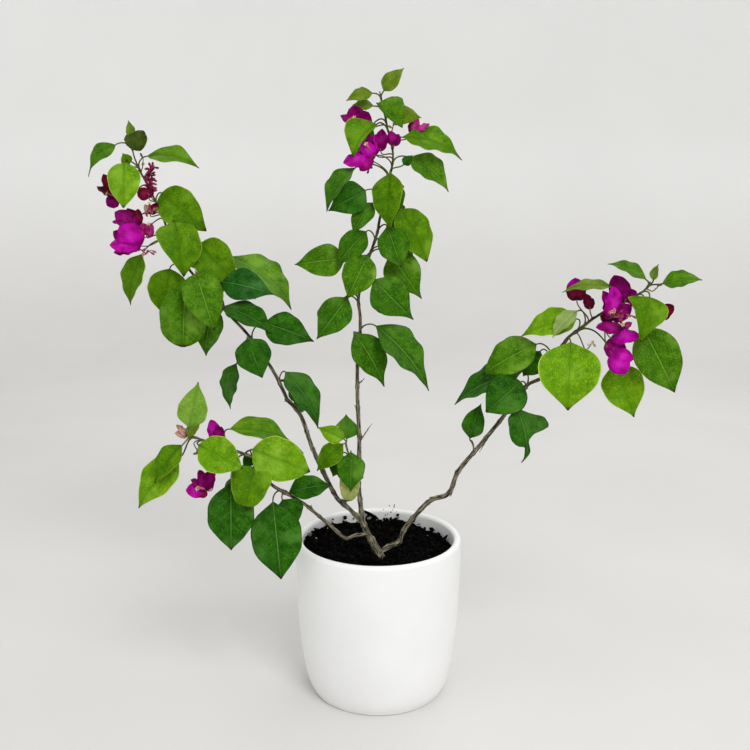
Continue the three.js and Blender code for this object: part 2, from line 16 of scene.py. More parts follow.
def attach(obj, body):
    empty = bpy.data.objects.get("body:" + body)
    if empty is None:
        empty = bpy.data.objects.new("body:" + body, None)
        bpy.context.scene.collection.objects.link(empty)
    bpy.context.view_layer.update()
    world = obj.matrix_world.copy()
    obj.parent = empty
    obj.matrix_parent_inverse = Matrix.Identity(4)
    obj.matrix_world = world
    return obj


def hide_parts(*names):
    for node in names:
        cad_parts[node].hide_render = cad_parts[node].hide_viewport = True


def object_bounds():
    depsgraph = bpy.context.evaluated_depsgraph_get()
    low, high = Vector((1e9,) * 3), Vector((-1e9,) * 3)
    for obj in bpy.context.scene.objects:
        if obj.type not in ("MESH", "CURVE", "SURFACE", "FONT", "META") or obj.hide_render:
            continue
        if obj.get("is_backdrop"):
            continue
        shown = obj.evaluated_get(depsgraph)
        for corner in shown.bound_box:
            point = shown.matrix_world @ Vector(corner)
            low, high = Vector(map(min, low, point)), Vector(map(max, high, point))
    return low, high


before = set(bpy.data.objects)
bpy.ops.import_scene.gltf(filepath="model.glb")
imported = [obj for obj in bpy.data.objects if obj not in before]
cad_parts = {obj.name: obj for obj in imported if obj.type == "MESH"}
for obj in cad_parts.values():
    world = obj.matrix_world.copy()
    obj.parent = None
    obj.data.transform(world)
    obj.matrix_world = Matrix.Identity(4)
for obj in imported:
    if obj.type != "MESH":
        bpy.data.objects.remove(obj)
cad_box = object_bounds()
scene = bpy.context.scene

MM = 0.001
BODY = "root"

# Camera

EYE = np.array((-2.6, -790.0, 440.9))
CAMERA_DOWN = 11.91
LENS = 47.33
SENSOR = 36.0

camera = bpy.data.objects.new("camera", bpy.data.cameras.new("camera"))
camera.data.lens = LENS
camera.data.sensor_width = SENSOR
camera.location = EYE * MM
camera.rotation_euler = (math.radians(90 - CAMERA_DOWN), 0, 0)
scene.collection.objects.link(camera)
scene.camera = camera

# Places and directions

# How much farther back each cane stands for each millimetre that it is off the middle
LEFT, CENTRE, RIGHT, LOW_LEFT = 0.25, 0.0, -0.14, -0.12
ACROSS_ALL = (0.31, 0.9, 0.17)


def place(x, z, depth, lean):
    """A seen place against the upright plane through the pot's axis, moved to its true depth."""
    share = 1 - (depth + lean * abs(x)) / EYE[1]
    return EYE + (np.array((x, 0.0, z)) - EYE) * share


def unit(vector):
    return vector / max(np.linalg.norm(vector), 1e-9)


def turned(vector, axis, angle):
    """A vector turned about a unit axis by an angle in radians."""
    flat = axis * (axis @ vector)
    return flat + (vector - flat) * math.cos(angle) + np.cross(axis, vector) * math.sin(angle)


def seeded(state, step=48271, most=2147483647):
    """Seeded draws between 0 and 1."""
    while True:
        state = state * step % most
        yield state / most


def bump(value, centre, spread):
    """A soft hump of 1 at its centre."""
    return np.exp(-(((value - centre) / spread) ** 2))


class Course:
    """A smooth way through points, followed by its length."""

    def __init__(self, points, fine=40):
        points = [np.array(point, float) for point in points]
        ends = [2 * points[0] - points[1], *points, 2 * points[-1] - points[-2]]
        runs = []
        for before, start, stop, after in zip(ends, ends[1:], ends[2:], ends[3:]):
            pairs = ((before, start), (start, stop), (stop, after))
            lead, span, tail = (max(np.linalg.norm(b - a), 1e-6) ** 0.5 for a, b in pairs)
            leave = (start - before) / lead - (stop - before) / (lead + span) + (stop - start) / span
            arrive = (stop - start) / span - (after - start) / (span + tail) + (after - stop) / tail
            leave, arrive = leave * span, arrive * span
            t = np.linspace(0, 1, fine, endpoint=False)[:, None]
            bend = 3 * (stop - start) - 2 * leave - arrive
            close = 2 * (start - stop) + leave + arrive
            runs.append(start + leave * t + bend * t**2 + close * t**3)
        runs.append(points[-1][None])
        self.line = np.vstack(runs)
        steps = np.linalg.norm(np.diff(self.line, axis=0), axis=1)
        self.along = np.concatenate(([0], np.cumsum(steps)))
        self.length = self.along[-1]

    def at(self, share):
        run = np.clip(share, 0, 1) * self.length
        return np.stack([np.interp(run, self.along, self.line[:, k]) for k in range(3)], axis=-1)

    def heading(self, share, near=0.004):
        return unit(self.at(min(share + near, 1)) - self.at(max(share - near, 0)))

    def rings(self, count):
        """Places, headings and two steady side directions at even steps."""
        places = self.at(np.linspace(0, 1, count))
        headings = np.gradient(places, axis=0)
        headings /= np.linalg.norm(headings, axis=1)[:, None]
        sides = [unit(np.cross(headings[0], ACROSS_ALL))]
        for heading in headings[1:]:
            sides.append(unit(sides[-1] - heading * (heading @ sides[-1])))
        sides = np.array(sides)
        return places, headings, sides, np.cross(headings, sides)


def nearest_share(course, point, lead, least=5, most=0.97):
    """The share of a stem at which a stalk leaves it, a little below where it points."""
    shares = np.linspace(0, 1, 80)
    spots = np.array([course.at(share) + course.heading(share) * lead for share in shares])
    best = shares[np.argmin(np.linalg.norm(spots - point, axis=1))]
    return float(np.clip(best, least / course.length, most))


# Meshes

SHARP = 50


class Heap:
    """Corners and faces of one kind of piece, gathered before its mesh is made."""

    def __init__(self):
        self.corners, self.marks, self.groups = [], [], []
        self.count = 0

    def add(self, corners, groups, marks=None):
        """Each group is its faces, their finish, and each face corner's spot on the laid-out map."""
        corners = np.asarray(corners, float).reshape(-1, 3)
        self.corners.append(corners)
        self.marks.append(np.zeros_like(corners) if marks is None else marks.reshape(-1, 3))
        for faces, coat, chart in groups:
            spots = np.zeros((faces.size, 2)) if chart is None else chart.reshape(-1, 2)
            self.groups.append((faces + self.count, coat, spots))
        self.count += len(corners)

    def mesh(self, name, finishes, mark=None, laid_out=False):
        mesh = bpy.data.meshes.new(name)
        faces, coats, spots = zip(*self.groups)
        loops = np.concatenate([group.ravel() for group in faces])
        sizes = np.concatenate([np.full(len(group), group.shape[1]) for group in faces])
        coats = np.concatenate([np.full(len(group), coat) for group, coat in zip(faces, coats)])
        mesh.vertices.add(self.count)
        mesh.vertices.foreach_set("co", (np.vstack(self.corners) * MM).ravel())
        mesh.loops.add(len(loops))
        mesh.loops.foreach_set("vertex_index", loops.astype(np.int32))
        mesh.polygons.add(len(sizes))
        mesh.polygons.foreach_set("loop_start", (np.cumsum(sizes) - sizes).astype(np.int32))
        mesh.polygons.foreach_set("material_index", coats.astype(np.int32))
        mesh.polygons.foreach_set("use_smooth", np.ones(len(sizes), bool))
        for finish in finishes:
            mesh.materials.append(finish)
        if mark:
            layer = mesh.attributes.new(mark, "FLOAT_VECTOR", "POINT")
            layer.data.foreach_set("vector", np.vstack(self.marks).ravel())
        if laid_out:
            mesh.uv_layers.new(name="OFBake").data.foreach_set("uv", np.vstack(spots).ravel())
        mesh.update(calc_edges=True)
        mesh.validate()
        if laid_out:
            mesh.set_sharp_from_angle(angle=math.radians(SHARP))
        return mesh


def piece(mesh, nodes):
    """An object for one finished mesh, riding on the body in the place of its nodes."""
    made = bpy.data.objects.new(mesh.name, mesh)
    scene.collection.objects.link(made)
    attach(made, BODY)
    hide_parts(*nodes)


def circle(turns):
    """Cosines and sines of even turns round a circle."""
    angle = np.linspace(0, 2 * math.pi, turns, endpoint=False)
    return np.cos(angle), np.sin(angle)


def ring_faces(rings, turns):
    """Walls between rings of corners, and caps to the two ends that follow all the rings."""
    ring = np.arange(turns)
    after = (ring + 1) % turns
    rows = np.arange(rings - 1)[:, None] * turns
    walls = np.stack((rows + ring, rows + after, rows + turns + after, rows + turns + ring), axis=-1)
    top, end = (rings - 1) * turns, np.full(turns, rings * turns)
    low = np.stack((end, after, ring), axis=1)
    high = np.stack((end + 1, top + ring, top + after), axis=1)
    return walls.reshape(-1, 4), np.concatenate((low, high))


def flipped(walls, caps):
    """The same faces looking the other way."""
    return walls[:, (0, 3, 2, 1)], caps[:, (0, 2, 1)]


def tube(heap, course, radius_at, grid, coat=0):
    """A closed round limb along a course; radius_at gives its radius at each share."""
    sides, step = grid
    count = max(4, round(course.length / step) + 1)
    places, headings, across, aside = course.rings(count)
    shares = np.linspace(0, 1, count)
    radii = np.array([radius_at(share) for share in shares])
    cosine, sine = circle(sides)
    outward = across[:, None] * cosine[:, None] + aside[:, None] * sine[:, None]
    corners = places[:, None] + outward * radii[:, None, None]
    tips = places[[0, -1]] + headings[[0, -1]] * radii[[0, -1], None] * np.array(((-0.5,), (0.5,)))
    grain = np.empty((count, sides, 3))
    grain[..., 0] = cosine
    grain[..., 1] = sine
    grain[..., 2] = (shares * course.length)[:, None]
    marks = np.vstack((grain.reshape(-1, 3), (0, 0, 0), (0, 0, course.length)))
    groups = [(faces, coat, None) for faces in ring_faces(count, sides)]
    heap.add(np.vstack((corners.reshape(-1, 3), tips)), groups, marks)


# Leaves and bracts

# Shares of a blade's length or width; the leads, NARROWEST and RIB_HALF are millimetres
WING = 0.45
BLADE_KIND = 0.62
BLADE_MOST_TURNED = 2
BLADE_ARCH = 0.07
STALK_IN_BLADE = 0.16
RIB_CROWDING = 1.45
NARROWEST = 0.25
EDGE_RIPPLE = 0.018
BLADE_TILT = 0.04
RIM_THINNING = 0.55
VEIN_LEAN, VEIN_SWEEP = 0.72, 0.9
VEIN_HALF = 0.35
RIB_HALF = 0.7
HOOK_FROM, DROOP_FROM = 0.8, 0.7
PETIOLE_LEAD = 6
PEDICEL_LEAD = 5

# Half width against share of the length, from the rounded base to the drawn-out tip
LEAF_EDGE = ((0, 0.03), (0.03, 0.16), (0.06, 0.31), (0.1, 0.51), (0.14, 0.68), (0.19, 0.83), (0.25, 0.94),
             (0.31, 0.99), (0.38, 1), (0.47, 0.97), (0.56, 0.885), (0.64, 0.765), (0.71, 0.63),
             (0.77, 0.49), (0.83, 0.34), (0.88, 0.215), (0.92, 0.13), (0.955, 0.07), (0.98, 0.04),
             (1, 0.02))
ROUND_EDGE = ((0, 0.03), (0.02, 0.27), (0.06, 0.52), (0.13, 0.77), (0.22, 0.93), (0.32, 0.995), (0.42, 1),
              (0.53, 0.95), (0.63, 0.85), (0.72, 0.71), (0.8, 0.54), (0.87, 0.36), (0.93, 0.2), (1, 0.03))
OVATE_EDGE = ((0, 0.03), (0.03, 0.15), (0.06, 0.29), (0.1, 0.48), (0.14, 0.65), (0.19, 0.79), (0.25, 0.89),
              (0.33, 0.96), (0.42, 1), (0.52, 0.985), (0.61, 0.9), (0.69, 0.77), (0.77, 0.595),
              (0.84, 0.42), (0.9, 0.255), (0.94, 0.15), (0.97, 0.08), (1, 0.02))
DRAWN_EDGE = (*LEAF_EDGE[:9], (0.47, 0.955), (0.56, 0.85), (0.64, 0.7), (0.71, 0.54), (0.77, 0.38),
              (0.83, 0.24), (0.88, 0.15), (0.92, 0.095), (0.96, 0.055), (1, 0.02))
BLUNT_EDGE = ((0, 0.03), (0.02, 0.3), (0.06, 0.54), (0.14, 0.77), (0.25, 0.92), (0.38, 0.985), (0.55, 1),
              (0.7, 0.94), (0.82, 0.8), (0.9, 0.61), (0.95, 0.43), (0.985, 0.24), (1, 0.08))
TAIL_EDGE = ((0, 0.03), (0.03, 0.25), (0.08, 0.55), (0.16, 0.85), (0.26, 1), (0.4, 0.97), (0.51, 0.82),
             (0.59, 0.62), (0.66, 0.4), (0.72, 0.22), (0.78, 0.13), (0.88, 0.08), (1, 0.03))
FULL_EDGE = ((0, 0.03), (0.05, 0.45), (0.12, 0.76), (0.25, 0.97), (0.4, 1.04), (0.58, 1.02), (0.7, 0.88),
             (0.79, 0.62), (0.87, 0.36), (0.94, 0.17), (1, 0.02))
SPARE_EDGE = ((0, 0.03), (0.06, 0.72), (0.15, 0.96), (0.3, 0.95), (0.45, 0.8), (0.6, 0.6), (0.75, 0.38),
              (0.88, 0.18), (1, 0.02))
HALF_EDGE = ((0, 0.03), (0.07, 0.5), (0.18, 1.05), (0.32, 1.42), (0.48, 1.5), (0.64, 1.3), (0.78, 0.9),
             (0.9, 0.45), (1, 0.02))
FOLDED_EDGE = ((0, 0.03), (0.1, 0.14), (0.5, 0.24), (0.9, 0.1), (1, 0.02))
TORN_EDGE = ((0, 0.05), (0.04, 0.5), (0.1, 0.85), (0.2, 1), (0.38, 1), (0.52, 1), (0.6, 0.86), (0.66, 0.6),
             (0.7, 0.16), (0.85, 0.12), (1, 0.03))
LOBED_EDGE = ((0, 0.05), (0.04, 0.3), (0.1, 0.56), (0.16, 0.95), (0.21, 1.36), (0.26, 1.52), (0.36, 1.54),
              (0.42, 1.42), (0.46, 0.98), (0.49, 0.45), (0.6, 0.2), (0.8, 0.2), (1, 0.05))
SQUARE_EDGE = ((0, 0.1), (0.02, 0.5), (0.06, 0.84), (0.13, 1), (0.3, 1), (0.5, 0.92), (0.7, 0.78),
               (0.84, 0.63), (0.92, 0.48), (0.97, 0.3), (1, 0.1))
CORNER_EDGE = ((0, 0.03), (0.03, 0.6), (0.08, 0.98), (0.12, 0.96), (0.2, 0.78), (0.35, 0.56), (0.55, 0.37),
               (0.75, 0.2), (0.9, 0.08), (1, 0.02))
SHOULDER_EDGE = ((0, 0.03), (0.03, 0.35), (0.08, 0.65), (0.15, 0.9), (0.25, 1.04), (0.38, 1), (0.52, 0.82),
                 (0.66, 0.56), (0.78, 0.33), (0.88, 0.16), (1, 0.02))
BRACT_EDGE = ((0, 0.16), (0.05, 0.45), (0.14, 0.74), (0.28, 0.95), (0.42, 1), (0.57, 0.97), (0.71, 0.86),
              (0.82, 0.67), (0.9, 0.47), (0.955, 0.27), (1, 0.05))


class Blade:
    """How a blade lies: its rib, the way its face looks, and the side between them."""

    def __init__(self, base, tip, width, normal):
        self.base, self.width, self.normal = base, width, normal
        self.length = np.linalg.norm(tip - base)
        self.along = unit(tip - base)
        self.side = np.cross(self.normal, self.along)

    def on_rib(self, share):
        rise = self.length * BLADE_ARCH * math.sin(math.pi * share)
        return self.base + self.along * self.length * share + self.normal * rise

    def spots(self):
        """A few spots that stand for the whole blade when room is looked for."""
        ribs = [self.on_rib(share) for share in (0.15, 0.4, 0.7, 1)]
        wings = [self.on_rib(0.4) + self.side * side * self.width * WING for side in (-1, 1)]
        return np.array([*ribs, *wings])


def shown_blade(base, tip, shown):
    """A leaf turned about its rib until its full width shows as much as it should."""
    along, seen = unit(tip - base), abs(shown)
    width = max(seen, min(np.linalg.norm(tip - base) * BLADE_KIND, seen * BLADE_MOST_TURNED))
    turn = math.acos(min(seen / width, 1))
    to_eye = EYE - base
    facing = unit(to_eye - along * (along @ to_eye))
    faces = [turned(facing, along, angle) for angle in (turn, -turn)]
    upper = 0 if faces[0][2] >= faces[1][2] else 1
    return Blade(base, tip, width, faces[upper if shown > 0 else 1 - upper])


# What a leaf's blade is like unless its row says otherwise
LEAF_HABIT = {"edge": LEAF_EDGE, "columns": 20, "rows": 30, "skin": 0.45, "arch": BLADE_ARCH, "fold": 0.28,
              "curl": 0.1, "wave": 0.02, "droop": 0.04, "veins": 6, "relief": 0.24, "bow": 0.0, "hook": 0.0,
              "keel": 0.5}
BRACT_HABIT = {**LEAF_HABIT, "edge": BRACT_EDGE, "columns": 14, "rows": 18, "skin": 0.28, "arch": -0.09,
               "fold": 0.1, "wave": 0.045, "droop": 0.0, "relief": 0.22, "keel": 0.0}
CURLED = {"arch": 0.12, "curl": 0.34}
CUPPED = {"arch": -0.08, "curl": -0.3}


def outline(habit, draw):
    """Shares along a blade and across it, crowded at the rib, with its half width and its waves' beat."""
    fuller, ripple, phase = (next(draw) for turn in range(3))
    run = np.linspace(0, 1, habit["rows"] + 1)
    step = np.linspace(-1, 1, habit["columns"] + 1)
    across = np.sign(step) * np.abs(step) ** RIB_CROWDING
    sides = [np.array(habit.get(side, habit["edge"])).T for side in ("other", "edge")]
    shapes = [np.interp(run ** (0.92 + 0.16 * fuller), *side)[:, None] for side in sides]
    share = run[:, None]
    beat = 2 * np.pi * ((2.2 + 1.6 * ripple) * share + phase)
    return share, across, np.where(across > 0, shapes[1], shapes[0]), beat


def rise_of(blade, habit, share, reach, lateral, swing):
    """How far a blade's spots stand off its plane: arch, fold, curl, waves, droop and sunken veins."""
    length, belly = blade.length, np.sin(np.pi * share)
    rise = length * habit["arch"] * belly + habit["fold"] * (np.sqrt(lateral**2 + 1.4) - 1.2)
    rise = rise - habit["curl"] * lateral**2 / (blade.width / 2)
    rise = rise + habit["wave"] * length * swing * belly * reach**3
    rise = rise - habit["droop"] * length * np.clip((share - DROOP_FROM) / (1 - DROOP_FROM), 0, 1) ** 2
    flat = lateral / length
    lane = habit["veins"] * (share - VEIN_LEAN * np.abs(flat) - VEIN_SWEEP * flat**2)
    vein = 1 - np.clip(2 * np.abs(lane - np.round(lane)) / VEIN_HALF, 0, 1)
    rise = rise - habit["relief"] * vein * (1 - reach**4) * belly
    return rise - 1.3 * habit["relief"] * bump(lateral, 0, RIB_HALF) * (1 - share)


def sheet_faces(rows, columns, handed):
    """Faces of one side of a sheet, and of the rim between its two sides."""
    index = np.arange((rows + 1) * (columns + 1)).reshape(rows + 1, columns + 1)
    quads = np.stack((index[:-1, :-1], index[:-1, 1:], index[1:, 1:], index[1:, :-1]), axis=-1).reshape(-1, 4)
    rim = np.concatenate((index[0, :-1], index[:-1, -1], index[-1, :0:-1], index[:0:-1, 0]))
    if handed < 0:
        quads, rim = quads[:, ::-1], rim[::-1]
    after = np.roll(rim, -1)
    return quads, np.stack((rim, rim + index.size, after + index.size, after), axis=1)


def sheet(heap, blade, coats, draw, habit):
    """A closed blade with its rib, side veins, wavy edge and thin rim."""
    share, across, shaped, beat = outline(habit, draw)
    reach, along = np.abs(across) * np.ones_like(share), share * np.ones_like(across)
    lateral = across * np.maximum(shaped * (1 + EDGE_RIPPLE * np.sin(beat)) * blade.width / 2, NARROWEST)
    rise = rise_of(blade, habit, share, reach, lateral, np.sin(beat + 1.3 * np.sign(across)))
    rise = rise + (next(draw) - 0.5) * BLADE_TILT * lateral
    swerve = habit["bow"] * np.sin(np.pi * share) + habit["hook"] * np.clip(share - HOOK_FROM, 0, 1) ** 2
    face = (
        blade.base
        + blade.along * (blade.length * along)[..., None]
        + blade.side * (lateral + blade.length * swerve)[..., None]
        + blade.normal * rise[..., None]
    )
    normals = np.cross(np.gradient(face, axis=1), np.gradient(face, axis=0))
    normals /= np.maximum(np.linalg.norm(normals, axis=2), 1e-9)[..., None]
    handed = 1 if normals[habit["rows"] // 2, habit["columns"] // 2] @ blade.normal > 0 else -1
    thick = habit["skin"] / 2 * (1 - RIM_THINNING * reach**4)
    keel = habit["keel"] * bump(lateral, 0, 0.65) * (1 - share) ** 0.7
    top = face + handed * normals * thick[..., None]
    under = face - handed * normals * (thick + keel)[..., None]
    quads, band = sheet_faces(habit["rows"], habit["columns"], handed)
    marks = np.stack((lateral / blade.length, along, reach), axis=-1).reshape(-1, 3)
    chart = np.stack((0.25 + 0.23 * across * shaped / shaped.max(), 0.03 + 0.94 * along), axis=-1)
    chart, lift, cell = chart.reshape(-1, 2), along.size, heap.next_cell()
    groups = [
        (quads, coats[0], (chart[quads] + cell) / heap.cells),
        (quads[:, ::-1] + lift, coats[1], (chart[quads[:, ::-1]] + (0.5, 0) + cell) / heap.cells),
        (band, coats[0], (chart[band % lift] + cell) / heap.cells),
    ]
    heap.add(np.concatenate((top.reshape(-1, 3), under.reshape(-1, 3))), groups, np.vstack((marks, marks)))


class Blades(Heap):
    """A heap of blades, each with its own cell of a square map."""

    def __init__(self, count):
        super().__init__()
        self.cells = math.ceil(math.sqrt(count))
        self.filled = 0

    def next_cell(self):
        cell = np.array((self.filled % self.cells, self.filled // self.cells))
        self.filled += 1
        return cell


# Finishes

DRY_TIP = (46, 38, 20)
UNDER_VEIN = (170, 184, 110)
UNDER_RIB = (184, 194, 124)


class Value:
    """A shader value; sums on it add Math nodes."""

    def __init__(self, finish, socket):
        self.finish, self.socket = finish, socket

    def sum(self, operation, first, second):
        return self.finish.node("ShaderNodeMath", {"operation": operation}, {0: first, 1: second})

    def __add__(self, other):
        return self.sum("ADD", self, other)

    def __radd__(self, other):
        return self.sum("ADD", other, self)

    def __sub__(self, other):
        return self.sum("SUBTRACT", self, other)

    def __rsub__(self, other):
        return self.sum("SUBTRACT", other, self)

    def __mul__(self, other):
        return self.sum("MULTIPLY", self, other)

    def __rmul__(self, other):
        return self.sum("MULTIPLY", other, self)

    def __pow__(self, other):
        return self.sum("POWER", self, other)

    def __abs__(self):
        return self.sum("ABSOLUTE", self, 0)

    def __round__(self):
        return self.sum("ROUND", self, 0)


def ink(red, green, blue):
    """A colour as a screen shows it, turned to light."""
    shares = (red / 255, green / 255, blue / 255)
    return (*(((share + 0.055) / 1.055) ** 2.4 if share > 0.04 else share / 12.92 for share in shares), 1)


class Finish:
    """A material in the making. Its inks are a screen's red, green and blue."""

    def __init__(self, name, gloss):
        self.material = bpy.data.materials.new(name)
        self.material.use_nodes = True
        self.tree = self.material.node_tree
        self.tree.nodes.clear()
        surface = self.node("ShaderNodeBsdfPrincipled", {}, {"Specular IOR Level": gloss})
        self.shader = surface.socket.node
        self.node("ShaderNodeOutputMaterial", {}, {"Surface": surface})

    def node(self, kind, settings, inputs, output=0):
        """Adds any node: its settings first, then the values or links of its sockets."""
        made = self.tree.nodes.new(kind)
        for name, setting in settings.items():
            setattr(made, name, setting)
        for name, given in inputs.items():
            if isinstance(given, Value):
                self.tree.links.new(given.socket, made.inputs[name])
            else:
                made.inputs[name].default_value = given
        return Value(self, made.outputs[output]) if made.outputs else None

    def place(self):
        return self.node("ShaderNodeTexCoord", {}, {}, "Object")

    def mark(self, name):
        return self.node("ShaderNodeAttribute", {"attribute_name": name}, {}, "Vector")

    def part(self, vector, axis):
        return self.node("ShaderNodeSeparateXYZ", {}, {"Vector": vector}, axis)

    def stretched(self, vector, scale):
        return self.node("ShaderNodeVectorMath", {"operation": "MULTIPLY"}, {0: vector, 1: scale})

    def grain(self, vector, scale, detail=3, rough=0.5):
        inputs = {"Vector": vector, "Scale": scale, "Detail": detail, "Roughness": rough}
        return self.node("ShaderNodeTexNoise", {}, inputs)

    def cells(self, vector, scale, feature="DISTANCE_TO_EDGE"):
        return self.node("ShaderNodeTexVoronoi", {"feature": feature}, {"Vector": vector, "Scale": scale})

    def step(self, value, low, high, first=0.0, last=1.0):
        """A smooth step from first to last as a value goes from low to high."""
        inputs = {"Value": value, "From Min": low, "From Max": high, "To Min": first, "To Max": last}
        return self.node("ShaderNodeMapRange", {"interpolation_type": "SMOOTHSTEP"}, inputs)

    def blend(self, share, first, last):
        """A colour between two others."""
        first, last = (given if isinstance(given, Value) else ink(*given) for given in (first, last))
        return self.node("ShaderNodeMix", {"data_type": "RGBA"}, {0: share, 6: first, 7: last}, 2)

    def layered(self, color, *layers):
        """A colour under layers of others, each with its share or with the step that makes it."""
        for layer, *share in layers:
            color = self.blend(self.step(*share) if share[1:] else share[0], color, layer)
        return color

    def blade_marks(self):
        """Where a spot lies on a blade: across it, off its rib, along it and towards its edge."""
        blade = self.mark("blade")
        across, along, edge = (self.part(blade, axis) for axis in "XYZ")
        return blade, across, abs(across), along, edge

    def off_vein(self, out, along, count):
        """How far a spot of a blade is from its nearest side vein."""
        lane = count * (along - VEIN_LEAN * out - VEIN_SWEEP * out * out)
        return abs(lane - round(lane)) * 2

    def done(self, color, roughness, height=None, distance=0.0, strength=1.0):
        """The material with its colour, its roughness and, where it has one, its relief."""
        looks = {"Base Color": color, "Roughness": roughness}
        if height is not None:
            inputs = {"Height": height, "Distance": distance, "Strength": strength}
            looks["Normal"] = self.node("ShaderNodeBump", {}, inputs)
        for name, value in looks.items():
            self.tree.links.new(value.socket, self.shader.inputs[name])
        return self.material


def glazed_ceramic():
    """White satin glaze, faintly uneven."""
    finish = Finish("white_glaze", 0.4)
    at = finish.place()
    color = finish.layered((240, 240, 240), ((245, 245, 245), finish.grain(at, 14), 0.3, 0.7))
    roughness = finish.step(finish.grain(at, 60), 0.2, 0.8, 0.34, 0.44)
    waves = finish.grain(at, 45, 2) + 0.25 * finish.grain(at, 400, 2)
    return finish.done(color, roughness, waves, 0.0004, 0.35)


def crumb_finish(name, shade, light):
    """Rough, dull crumbs of the mix."""
    finish = Finish(name, 0.06)
    at = finish.place()
    color = finish.layered(shade, (light, finish.grain(at, 700), 0.35, 0.7))
    roughness = finish.step(finish.grain(at, 900), 0.3, 0.7, 0.82, 1.0)
    return finish.done(color, roughness, finish.grain(at, 1500, 3), 0.0006, 0.8)


def bark_finish():
    """Grey-brown bark with pale streaks along the limb on a darker, partly painted-shade base; greener and
    smoother towards the tips.
    """
    finish = Finish("bark", 0.15)
    grain = finish.mark("grain")
    streak = finish.grain(finish.stretched(grain, (2.2, 2.2, 0.12)), 1.0, 5, 0.62)
    patch = finish.grain(finish.stretched(grain, (1.0, 1.0, 0.16)), 1.0, 3)
    fleck = finish.cells(finish.stretched(grain, (3.0, 3.0, 0.7)), 1.0, "F1")
    # The streaks also raise the relief, so the dark between them is partly the bark's own colour and partly
    # painted shade in its furrows
    pale = ((160, 152, 128), streak, 0.41, 0.63)
    old = finish.layered((16, 13, 7), pale, ((212, 202, 180), fleck, 0.02, 0.22, 0.9, 0.0))
    young = finish.layered((22, 21, 8), ((100, 96, 54), streak, 0.4, 0.64))
    at = finish.place()
    out = finish.part(at, "X")
    up = finish.part(at, "Z") - 0.12
    reach = (out * out + up * up) ** 0.5
    age = finish.step(reach + 0.12 * patch, 0.17, 0.36)
    roughness = finish.step(streak, 0.3, 0.7, 0.62, 0.86)
    return finish.done(finish.blend(age, old, young), roughness, streak + 0.5 * patch, 0.001, 0.9)


def leaf_finish(name, shade, light, rib, net, rim, gloss):
    """A leaf's upper face: puckered between its veins, with a pale rib, a fine net, a thin rim and painted
    highlights and shade.
    """
    finish = Finish(name, 0.04)
    blade, across, out, along, edge = finish.blade_marks()
    at = finish.place()
    pucker = finish.cells(blade, 12)
    mottle = finish.grain(at, 150, 3, 0.6)
    off = finish.off_vein(out, along, 5)
    side_vein = finish.step(off, 0.0, 0.07, 0.3, 0.0) * finish.step(edge, 0.5, 0.9, 1.0, 0.0)
    middle = finish.step(out, 0.002, 0.01, 0.75, 0.0) * finish.step(along, 0.6, 1.0, 1.0, 0.3)
    color = finish.layered(
        shade,
        (light, mottle, 0.3, 0.7, 0.05, 0.95),
        # Darker net at the cell edges that the relief sinks: partly the veins' own colour, partly painted
        # shade in those grooves
        (net, pucker, 0.0, 0.16, 0.5, 0.0),
        # Painted highlight: pale blotches of the gloss ink where a sheen would show
        (gloss, finish.grain(at, 34, 3, 0.65), 0.48, 0.7, 0.0, 0.62),
        # Painted shade: one half of the blade a little darker, as the fold would shade it
        (shade, across, -0.03, 0.03, 0.32, 0.0),
        (gloss, finish.cells(blade, 24), 0.0, 0.05, 0.3, 0.0),
        # Painted glints: small pale specks where light would catch the puckers
        (gloss, finish.grain(at, 750, 2), 0.56, 0.7, 0.0, 0.4),
        # Painted shade: darker in the crease beside the rib
        (shade, out, 0.004, 0.07, 0.42, 0.0),
        (rib, side_vein),
        (rib, middle),
        (rim, edge, 0.945, 0.99, 0.0, 0.9),
        (DRY_TIP, along, 0.93, 0.985, 0.0, 0.9),
    )
    height = pucker * 0.8 - 0.6 * side_vein + finish.grain(at, 420, 2) * 0.25
    return finish.done(color, finish.step(mottle, 0.3, 0.7, 0.34, 0.5), height, 0.0011, 0.7)


def under_finish(name, shade, light):
    """A leaf's underside: paler and matt, with raised veins."""
    finish = Finish(name, 0.12)
    blade, across, out, along, edge = finish.blade_marks()
    vein = finish.step(finish.off_vein(out, along, 6), 0.0, 0.12, 0.55, 0.0)
    net = finish.cells(blade, 19)
    color = finish.layered(
        shade,
        (light, finish.grain(finish.place(), 90), 0.3, 0.7),
        (UNDER_VEIN, net, 0.0, 0.05, 0.3, 0.0),
        (UNDER_VEIN, vein),
        (UNDER_RIB, out, 0.006, 0.016, 0.9, 0.0),
    )
    return finish.done(color, finish.step(net, 0.0, 0.3, 0.55, 0.7), vein - net * 0.6, 0.0006, 0.5)


def bract_finish(name, shade, light, vein, painted_sheen):
    """Papery bract: silky, with fine darker veins in a net and a painted highlight down its middle."""
    finish = Finish(name, 0.05)
    blade, across, out, along, edge = finish.blade_marks()
    net = finish.cells(blade, 17)
    # Painted highlight down the middle of the bract, strongest halfway along and near the rib
    middle = finish.step(abs(along - 0.52), 0.0, 0.3, 0.38, 0.0) * finish.step(out, 0.0, 0.2, 1.0, 0.0)
    color = finish.layered(
        shade,
        (light, finish.grain(finish.place(), 160), 0.3, 0.7),
        (vein, along, 0.0, 0.34, 0.7, 0.0),
        (vein, finish.off_vein(out, along, 6), 0.03, 0.14, 0.5, 0.0),
        (vein, out, 0.006, 0.02, 0.6, 0.0),
        (vein, net, 0.0, 0.06, 0.45, 0.0),
        (vein, edge, 0.7, 1.0, 0.0, 0.4),
        # The painted sheen laid over the middle of the bract
        (painted_sheen, middle),
    )
    return finish.done(color, finish.step(net, 0.0, 0.4, 0.5, 0.38), net, 0.0006, 0.6)


